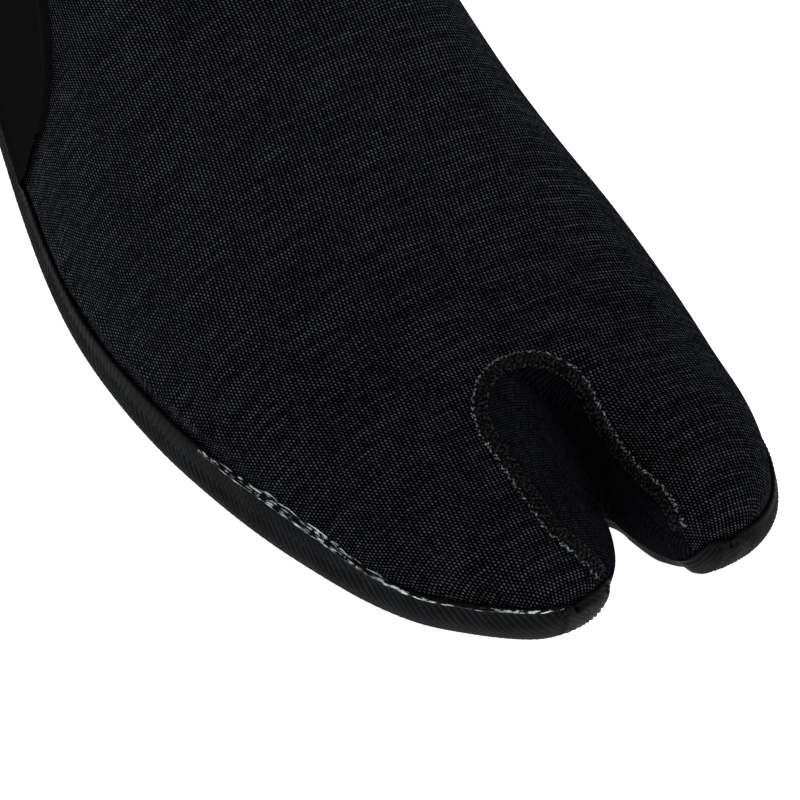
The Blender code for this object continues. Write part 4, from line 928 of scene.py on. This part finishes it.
# Brushed knit inside the boot: coarser loops, softer and duller than the outer face, with the same painted
# highlight on its loops.
liningKnit = {
    "name": "brushedLining", "dark": "#0c0c0e", "fleck": "#303237", "wale": 1.6, "course": 1.0,
    "slant": 0.3, "sharp": 1.2, "rib": 0.0, "depth": 0.25, "streak": 0.2, "rough": 0.95, "specular": 0.0,
}
anyKnit = {
    "wanderLong": 100 / 9, "wander": (0.6, 1.2, 0.0), "dullest": 0.3, "streakPerWale": 0.04,
    "streakFrom": 0.4, "streakTo": 0.75, "plain": 0.75, "ribSharp": 2.5, "relief": 0.9,
}


def knitMaterial(cloth):
    material, tree = newMaterial(cloth["name"], cloth["rough"], cloth["specular"])
    uv = addNode(tree, "UVMap", {}, uv_map="cloth").outputs[0]
    # uv counts tenths of a metre, so 100 / pitch in mm gives stitches
    noise = {"Vector": uv, "Scale": 100 / anyKnit["wanderLong"], "Detail": 2.0}
    wander = addNode(tree, "TexNoise", noise, noise_dimensions="2D").outputs["Color"]
    shift = addNode(tree, "VectorMath", {0: wander, 1: (0.5, 0.5, 0.5)}, operation="SUBTRACT").outputs[0]
    stray = [far / 100 for far in anyKnit["wander"]]
    bent = addNode(tree, "VectorMath", {0: shift, 1: stray, 2: uv}, operation="MULTIPLY_ADD").outputs[0]
    place = addNode(tree, "SeparateXYZ", {0: bent}).outputs
    wales = addNode(tree, "Math", {0: place[0], 1: 100 / cloth["wale"]}, operation="MULTIPLY").outputs[0]
    courses = addNode(tree, "Math", {0: place[1], 1: 100 / cloth["course"]}, operation="MULTIPLY").outputs[0]
    # a stitch is a half sine across its wale times a half sine along its course, slanted across the wale
    across = addNode(tree, "Math", {0: wales}, operation="FRACT").outputs[0]
    halfWave = addNode(tree, "Math", {0: across, 1: np.pi}, operation="MULTIPLY").outputs[0]
    loop = addNode(tree, "Math", {0: halfWave}, operation="SINE").outputs[0]
    leaning = {0: across, 1: cloth["slant"], 2: courses}
    slant = addNode(tree, "Math", leaning, operation="MULTIPLY_ADD").outputs[0]
    along = addNode(tree, "Math", {0: slant}, operation="FRACT").outputs[0]
    halfTurn = addNode(tree, "Math", {0: along, 1: np.pi}, operation="MULTIPLY").outputs[0]
    dash = addNode(tree, "Math", {0: halfTurn}, operation="SINE").outputs[0]
    height = addNode(tree, "Math", {0: loop, 1: dash}, operation="MULTIPLY", use_clamp=True).outputs[0]
    # one random number for each stitch
    column = addNode(tree, "Math", {0: wales}, operation="FLOOR").outputs[0]
    row = addNode(tree, "Math", {0: slant}, operation="FLOOR").outputs[0]
    cell = addNode(tree, "CombineXYZ", {0: column, 1: row}).outputs[0]
    luck = addNode(tree, "TexWhiteNoise", {"Vector": cell}, noise_dimensions="2D").outputs[0]
    chance = addNode(tree, "MapRange", {0: luck, 1: 0.0, 2: 1.0, 3: anyKnit["dullest"], 4: 1.0}).outputs[0]
    # some courses run lighter for a few centimetres, as knit does where it is stretched
    slow = addNode(tree, "Math", {0: wales, 1: anyKnit["streakPerWale"]}, operation="MULTIPLY").outputs[0]
    lane = addNode(tree, "CombineXYZ", {0: slow, 1: row}).outputs[0]
    laneNoise = {"Vector": lane, "Scale": 1.0, "Detail": 1.0}
    streak = addNode(tree, "TexNoise", laneNoise, noise_dimensions="2D").outputs[0]
    most = 1 + cloth["streak"]
    lighter = {0: streak, 1: anyKnit["streakFrom"], 2: anyKnit["streakTo"], 3: anyKnit["plain"], 4: most}
    lift = addNode(tree, "MapRange", lighter).outputs[0]
    # painted highlight: each stitch lighter towards its top, by its height made sharper, times its luck and
    # the streaks
    sharp = addNode(tree, "Math", {0: height, 1: cloth["sharp"]}, operation="POWER").outputs[0]
    bright = addNode(tree, "Math", {0: sharp, 1: chance}, operation="MULTIPLY").outputs[0]
    amount = addNode(tree, "Math", {0: bright, 1: lift}, operation="MULTIPLY", use_clamp=True).outputs[0]
    # over the instep the wales close up into ribs: their stitches join, with painted highlight along each
    # rib's middle and painted shade left in the darker grooves between them
    rib = addNode(tree, "Attribute", {}, attribute_name="rib").outputs["Fac"]
    joined = addNode(tree, "Math", {0: loop, 1: anyKnit["ribSharp"]}, operation="POWER").outputs[0]
    paintedRibLight = addNode(tree, "Math", {0: joined, 1: rib}, operation="MULTIPLY").outputs[0]
    both = {0: paintedRibLight, 1: cloth["rib"], 2: amount}
    shown = addNode(tree, "Math", both, operation="MULTIPLY_ADD", use_clamp=True).outputs[0]
    finishSurface(tree, shown, cloth["dark"], cloth["fleck"], height, anyKnit["relief"], cloth["depth"])
    return material


# Moulded rubber: painted highlight in dull dark grey on the tops of its ridges and painted shade in near
# black in the grooves, with a fine grit and patches several millimetres wide where the painted highlight on
# the tops is duller.
ridgedRubber = {"name": "mouldedRubber", "top": "#232527", "groove": "#050506", "grit": 0.6, "gritTone": 0.2,
                "patch": 6.0, "patchFrom": 0.3, "patchTo": 0.7, "dullest": 0.45, "relief": 0.6, "depth": 0.1,
                "rough": 0.55, "specular": 0.03}


def rubberMaterial(rubber):
    material, tree = newMaterial(rubber["name"], rubber["rough"], rubber["specular"])
    uv = addNode(tree, "UVMap", {}, uv_map="cloth").outputs[0]
    ridged = addNode(tree, "Attribute", {}, attribute_name="ridged").outputs["Fac"]
    gritNoise = {"Vector": uv, "Scale": 100 / rubber["grit"], "Detail": 3.0}
    grit = addNode(tree, "TexNoise", gritNoise, noise_dimensions="2D").outputs[0]
    patchNoise = {"Vector": uv, "Scale": 100 / rubber["patch"], "Detail": 2.0}
    dullPatches = addNode(tree, "TexNoise", patchNoise, noise_dimensions="2D").outputs[0]
    patch = {0: dullPatches, 1: rubber["patchFrom"], 2: rubber["patchTo"], 3: rubber["dullest"], 4: 1.0}
    bare = addNode(tree, "MapRange", patch).outputs[0]
    # painted highlight on the ridge tops, dimmed in patches; the grooves keep the near black of painted shade
    paintedRidgeLight = addNode(tree, "Math", {0: ridged, 1: bare}, operation="MULTIPLY").outputs[0]
    gritty = {0: grit, 1: rubber["gritTone"], 2: paintedRidgeLight}
    tone = addNode(tree, "Math", gritty, operation="MULTIPLY_ADD", use_clamp=True).outputs[0]
    finishSurface(tree, tone, rubber["groove"], rubber["top"], grit, rubber["relief"], rubber["depth"])
    return material


# Smooth rubber skin on neoprene: matte, with a faint skin grain and a paler raised edge where it is glued.
smoothSkin = {"name": "smoothRubberSkin", "skin": "#101011", "edge": "#161617", "grain": 0.5, "cloud": 50 / 3,
              "cloudTone": 0.35, "relief": 0.35, "depth": 0.1, "rough": 0.75, "specular": 0.0}


def skinMaterial(skin):
    material, tree = newMaterial(skin["name"], skin["rough"], skin["specular"])
    place = addNode(tree, "TexCoord", {}).outputs["Object"]
    grainNoise = {"Vector": place, "Scale": 1000 / skin["grain"], "Detail": 3.0}
    grain = addNode(tree, "TexNoise", grainNoise).outputs[0]
    cloudNoise = {"Vector": place, "Scale": 1000 / skin["cloud"], "Detail": 3.0}
    cloud = addNode(tree, "TexNoise", cloudNoise).outputs[0]
    rim = addNode(tree, "Attribute", {}, attribute_name="seam").outputs["Fac"]
    clouded = {0: cloud, 1: skin["cloudTone"], 2: rim}
    tone = addNode(tree, "Math", clouded, operation="MULTIPLY_ADD", use_clamp=True).outputs[0]
    finishSurface(tree, tone, skin["skin"], skin["edge"], grain, skin["relief"], skin["depth"])
    return material


# Twisted polyester thread: near black, with its silky shine painted in as bright flecks along its twist.
seamThread = {
    "name": "polyesterThread", "dark": "#030304", "light": "#9ca1a8", "twist": 0.55, "sheenFrom": 0.47,
    "sheenTo": 0.72, "relief": 0.6, "depth": 0.12, "rough": 0.45, "specular": 0.05,
}


def threadMaterial(thread):
    material, tree = newMaterial(thread["name"], thread["rough"], thread["specular"])
    place = addNode(tree, "TexCoord", {}).outputs["Object"]
    twistNoise = {"Vector": place, "Scale": 1000 / thread["twist"], "Detail": 2.0}
    luck = addNode(tree, "TexNoise", twistNoise).outputs[0]
    twist = {0: luck, 1: thread["sheenFrom"], 2: thread["sheenTo"], 3: 0.0, 4: 1.0}
    bright = addNode(tree, "MapRange", twist).outputs[0]
    # painted sheen: bright flecks where the twist noise is high, scaled by each thread's mark
    fleck = addNode(tree, "Attribute", {}, attribute_name="fleck").outputs["Fac"]
    tone = addNode(tree, "Math", {0: bright, 1: fleck}, operation="MULTIPLY").outputs[0]
    finishSurface(tree, tone, thread["dark"], thread["light"], luck, thread["relief"], thread["depth"])
    return material


# Contact glue squeezed out at the rubber's lip: a hard glossy film, lumpy, with painted glints: thin
# near-white streaks of painted highlight that gather in a few lines along the lip.
glueLine = {
    "name": "dryContactGlue", "film": "#050506", "glint": "#e6edf1", "glintLong": 1.8, "glintWide": 0.34,
    "glintFrom": 0.48, "glintTo": 0.62, "gather": (0.12, 0.5, 1.0), "gatherFrom": 0.4, "gatherTo": 0.55,
    "lump": 0.9, "lumpRough": 0.6, "relief": 1.0, "depth": 0.35, "rough": 0.3, "specular": 0.06,
}


def glueMaterial(glue):
    material, tree = newMaterial(glue["name"], glue["rough"], glue["specular"])
    place = addNode(tree, "TexCoord", {}).outputs["Object"]
    lumpNoise = {"Vector": place, "Scale": 1000 / glue["lump"], "Detail": 3.0, "Roughness": glue["lumpRough"]}
    lump = addNode(tree, "TexNoise", lumpNoise).outputs[0]
    uv = addNode(tree, "UVMap", {}, uv_map="cloth").outputs[0]
    # painted glints: near-white streaks of painted highlight, long along the lip and narrow across it
    drawn = (100 / glue["glintLong"], 100 / glue["glintWide"], 1.0)  # uv counts tenths of a metre
    glint = addNode(tree, "VectorMath", {0: uv, 1: drawn}, operation="MULTIPLY").outputs[0]
    glintNoise = {"Vector": glint, "Scale": 1.0, "Detail": 2.0}
    luck = addNode(tree, "TexNoise", glintNoise, noise_dimensions="2D").outputs[0]
    glintRange = {0: luck, 1: glue["glintFrom"], 2: glue["glintTo"], 3: 0.0, 4: 1.0}
    glintShare = addNode(tree, "MapRange", glintRange).outputs[0]
    line = addNode(tree, "VectorMath", {0: glint, 1: glue["gather"]}, operation="MULTIPLY").outputs[0]
    lineNoise = {"Vector": line, "Scale": 1.0, "Detail": 1.0}
    gather = addNode(tree, "TexNoise", lineNoise, noise_dimensions="2D").outputs[0]
    gathered = {0: gather, 1: glue["gatherFrom"], 2: glue["gatherTo"], 3: 0.0, 4: 1.0}
    drift = addNode(tree, "MapRange", gathered).outputs[0]
    tone = addNode(tree, "Math", {0: glintShare, 1: drift}, operation="MULTIPLY").outputs[0]
    finishSurface(tree, tone, glue["film"], glue["glint"], lump, glue["relief"], glue["depth"])
    return material


# Overlocked seam round the split
seam = {
    "wide": 2.9, "high": 0.9, "full": 2.4, "bedded": 0.2, "endHeight": 21.5, "rimPoints": 600, "probe": 0.3,
    "curveSteps": 8, "step": 0.15, "smooth": 41,
    # along the band: every how many path points, columns across, and its share of painted sheen
    "bandEvery": 3, "bandColumns": 13, "bandPaintedSheen": 0.08,
    # threads across the band, leaning both ways; the last entry is their share of painted sheen
    "stitch": 1.05, "thread": 0.26, "ride": 0.6, "lean": 0.7, "past": 1.02, "endClear": 0.6, "uneven": 0.12,
    "threadPoints": 11, "crossPaintedSheen": 0.09,
    # stitches along both edges: place across the band and share of painted sheen; the outer row gets more
    # painted highlight
    "edgeRows": ((-0.96, 1.0), (0.96, 0.2)), "edgeStitch": 0.8, "edgeClear": 0.5, "edgeUneven": 0.1,
    "edgeHalf": 0.6, "edgeTurn": 2.6, "edgeSwing": 0.16, "edgeArch": 0.22, "edgeThin": 0.85, "edgePoints": 7,
}


def rimPath():
    # points along the rim from the lateral end round the root to the medial end, with normals and directions
    halves, probe = [], seam["probe"]
    for side in sides:
        share = np.linspace(0, 1, seam["rimPoints"]) ** 2
        x = split["rimRoot"] + (split["rimEnd"] - split["rimRoot"]) * share
        y = rimY(side, x)
        rim = np.stack((x, y, topHeight(side, x, y)), -1)
        keep = np.cumprod(rim[:, 2] > seam["endHeight"]).astype(bool)
        foot = valleyLine(np.minimum(x, split["floorRoot"]))
        inward = gussetCurve(side, x, foot, seam["curveSteps"])[:, 1] - rim
        slopeX = (topHeight(side, x + probe, y) - topHeight(side, x - probe, y)) / (2 * probe)
        slopeY = (topHeight(side, x, y + probe) - topHeight(side, x, y - probe)) / (2 * probe)
        halves.append((rim[keep], np.stack((-slopeX, -slopeY, 1 + 0 * x), -1)[keep], inward[keep]))
    path, slope, inward = (np.concatenate((a[::-1], b[1:])) for a, b in zip(*halves))
    run = lengths(path, 0)
    even = np.linspace(0, run[-1], int(run[-1] / seam["step"]))
    path, slope, inward = (alongPath(even, run, values) for values in (path, slope, inward))
    ahead = unit(np.gradient(path, axis=0))
    inner = unit(np.cross(ahead, inward))
    normal = unit(slope) + inner * np.sign(inner[:, 2:])
    window = np.hanning(seam["smooth"]) / np.hanning(seam["smooth"]).sum()
    padded = np.pad(normal, ((seam["smooth"] // 2, seam["smooth"] // 2), (0, 0)), mode="edge")
    normal = np.stack([np.convolve(padded[:, k], window, "valid") for k in range(3)], -1)
    normal = unit(normal - ahead * (normal * ahead).sum(-1)[:, None])
    return even, path, normal, np.cross(ahead, normal)


def bandHeight(q):
    # the band's cushion across its width, q from -1 to 1
    cushion = np.sqrt(np.clip(1 - np.abs(q) ** seam["full"], 0, 1))
    return last["gap"] * seam["bedded"] + seam["high"] * cushion


def threadTubes(paths, normals, radius, fleck, ringPoints=7):
    # tubes round many paths at once, closed by tapering their ends; one grid for each thread
    ahead = unit(np.gradient(paths, axis=1))
    aside = unit(np.cross(ahead, normals))
    above = np.cross(aside, ahead)
    taper = np.sqrt(np.clip(1 - np.linspace(-1, 1, paths.shape[1]) ** 8, 0.0, 1)) * radius
    taper = taper[None, :, None, None]
    turn = np.linspace(0, 2 * np.pi, ringPoints)[None, None, :, None]
    rings = paths[:, :, None] + taper * (np.cos(turn) * aside[:, :, None] + np.sin(turn) * above[:, :, None])
    return [{"points": ring, "flip": True, "marks": {"fleck": fleck}} for ring in rings]


def seamParts():
    # a cushioned band along the rim, crossed by leaning threads, with a row of short stitches along each edge
    run, path, normal, across = rimPath()
    q = np.linspace(-1, 1, seam["bandColumns"])
    some = slice(None, None, seam["bandEvery"])
    band = path[some, None] + across[some, None] * (q * seam["wide"] / 2)[None, :, None]
    band = band + normal[some, None] * bandHeight(q)[None, :, None]
    parts = [{"points": band, "marks": {"fleck": seam["bandPaintedSheen"]}}]

    def onBand(at, q):
        # points on the band at a running length and a place across it
        at, q = np.broadcast_arrays(np.clip(at, 0, run[-1]), q)
        p, n, a = (alongPath(at, run, values) for values in (path, normal, across))
        over = bandHeight(q) + seam["ride"] * seam["thread"]
        return p + a * (q * seam["wide"] / 2)[..., None] + n * over[..., None], n

    rng = np.random.default_rng(5)
    starts = np.arange(seam["endClear"], run[-1] - seam["endClear"], seam["stitch"])
    starts = starts + rng.uniform(-seam["uneven"], seam["uneven"], len(starts))
    q = np.linspace(-seam["past"], seam["past"], seam["threadPoints"])
    for lean in (seam["lean"], -seam["lean"]):
        points, normals = onBand(starts[:, None] + lean * q[None, :], q[None, :])
        parts += threadTubes(points, normals, seam["thread"], seam["crossPaintedSheen"])
    for place, fleck in seam["edgeRows"]:
        starts = np.arange(seam["edgeClear"], run[-1] - seam["edgeClear"], seam["edgeStitch"])
        starts = starts + rng.uniform(-seam["edgeUneven"], seam["edgeUneven"], len(starts))
        t = np.linspace(-seam["edgeHalf"], seam["edgeHalf"], seam["edgePoints"])
        swing = seam["edgeSwing"] * np.sin(t * seam["edgeTurn"])
        swing = place + swing[None, :] * rng.choice((-1.0, 1.0), len(starts))[:, None]
        points, normals = onBand(starts[:, None] + t[None, :], swing)
        points = points + normals * (seam["edgeArch"] * np.cos(t * seam["edgeTurn"]))[None, :, None]
        parts += threadTubes(points, normals, seam["thread"] * seam["edgeThin"], fleck)
    return parts


placeCamera()
buildStudio()
jersey, fineJersey, lining = (knitMaterial(cloth) for cloth in (upperKnit, gussetKnit, liningKnit))
upper = makePiece("knitUpper", upperParts(), "upper", [jersey, lining])
thicken(upper, last["wall"])
gusset = makePiece("toeGusset", gussetParts(), "toe_gusset", [fineJersey, lining])
thicken(gusset, last["gussetWall"])
makePiece("splitSeam", seamParts(), "split_seam", [threadMaterial(seamThread)])
rubberParts = [soleWall(side) for side in sides] + soleBottom()
makePiece("rubberSole", rubberParts, "outsole", [rubberMaterial(ridgedRubber)])
makePiece("glueSmear", glueParts(), None, [glueMaterial(glueLine)])
counterParts = [counterPart(side) for side in sides]
makePiece("heelCounter", counterParts, "heel_counter", [skinMaterial(smoothSkin)])
insole = makePiece("insolePanel", insoleParts(), "insole", [lining])
thicken(insole, insolePad["thick"])
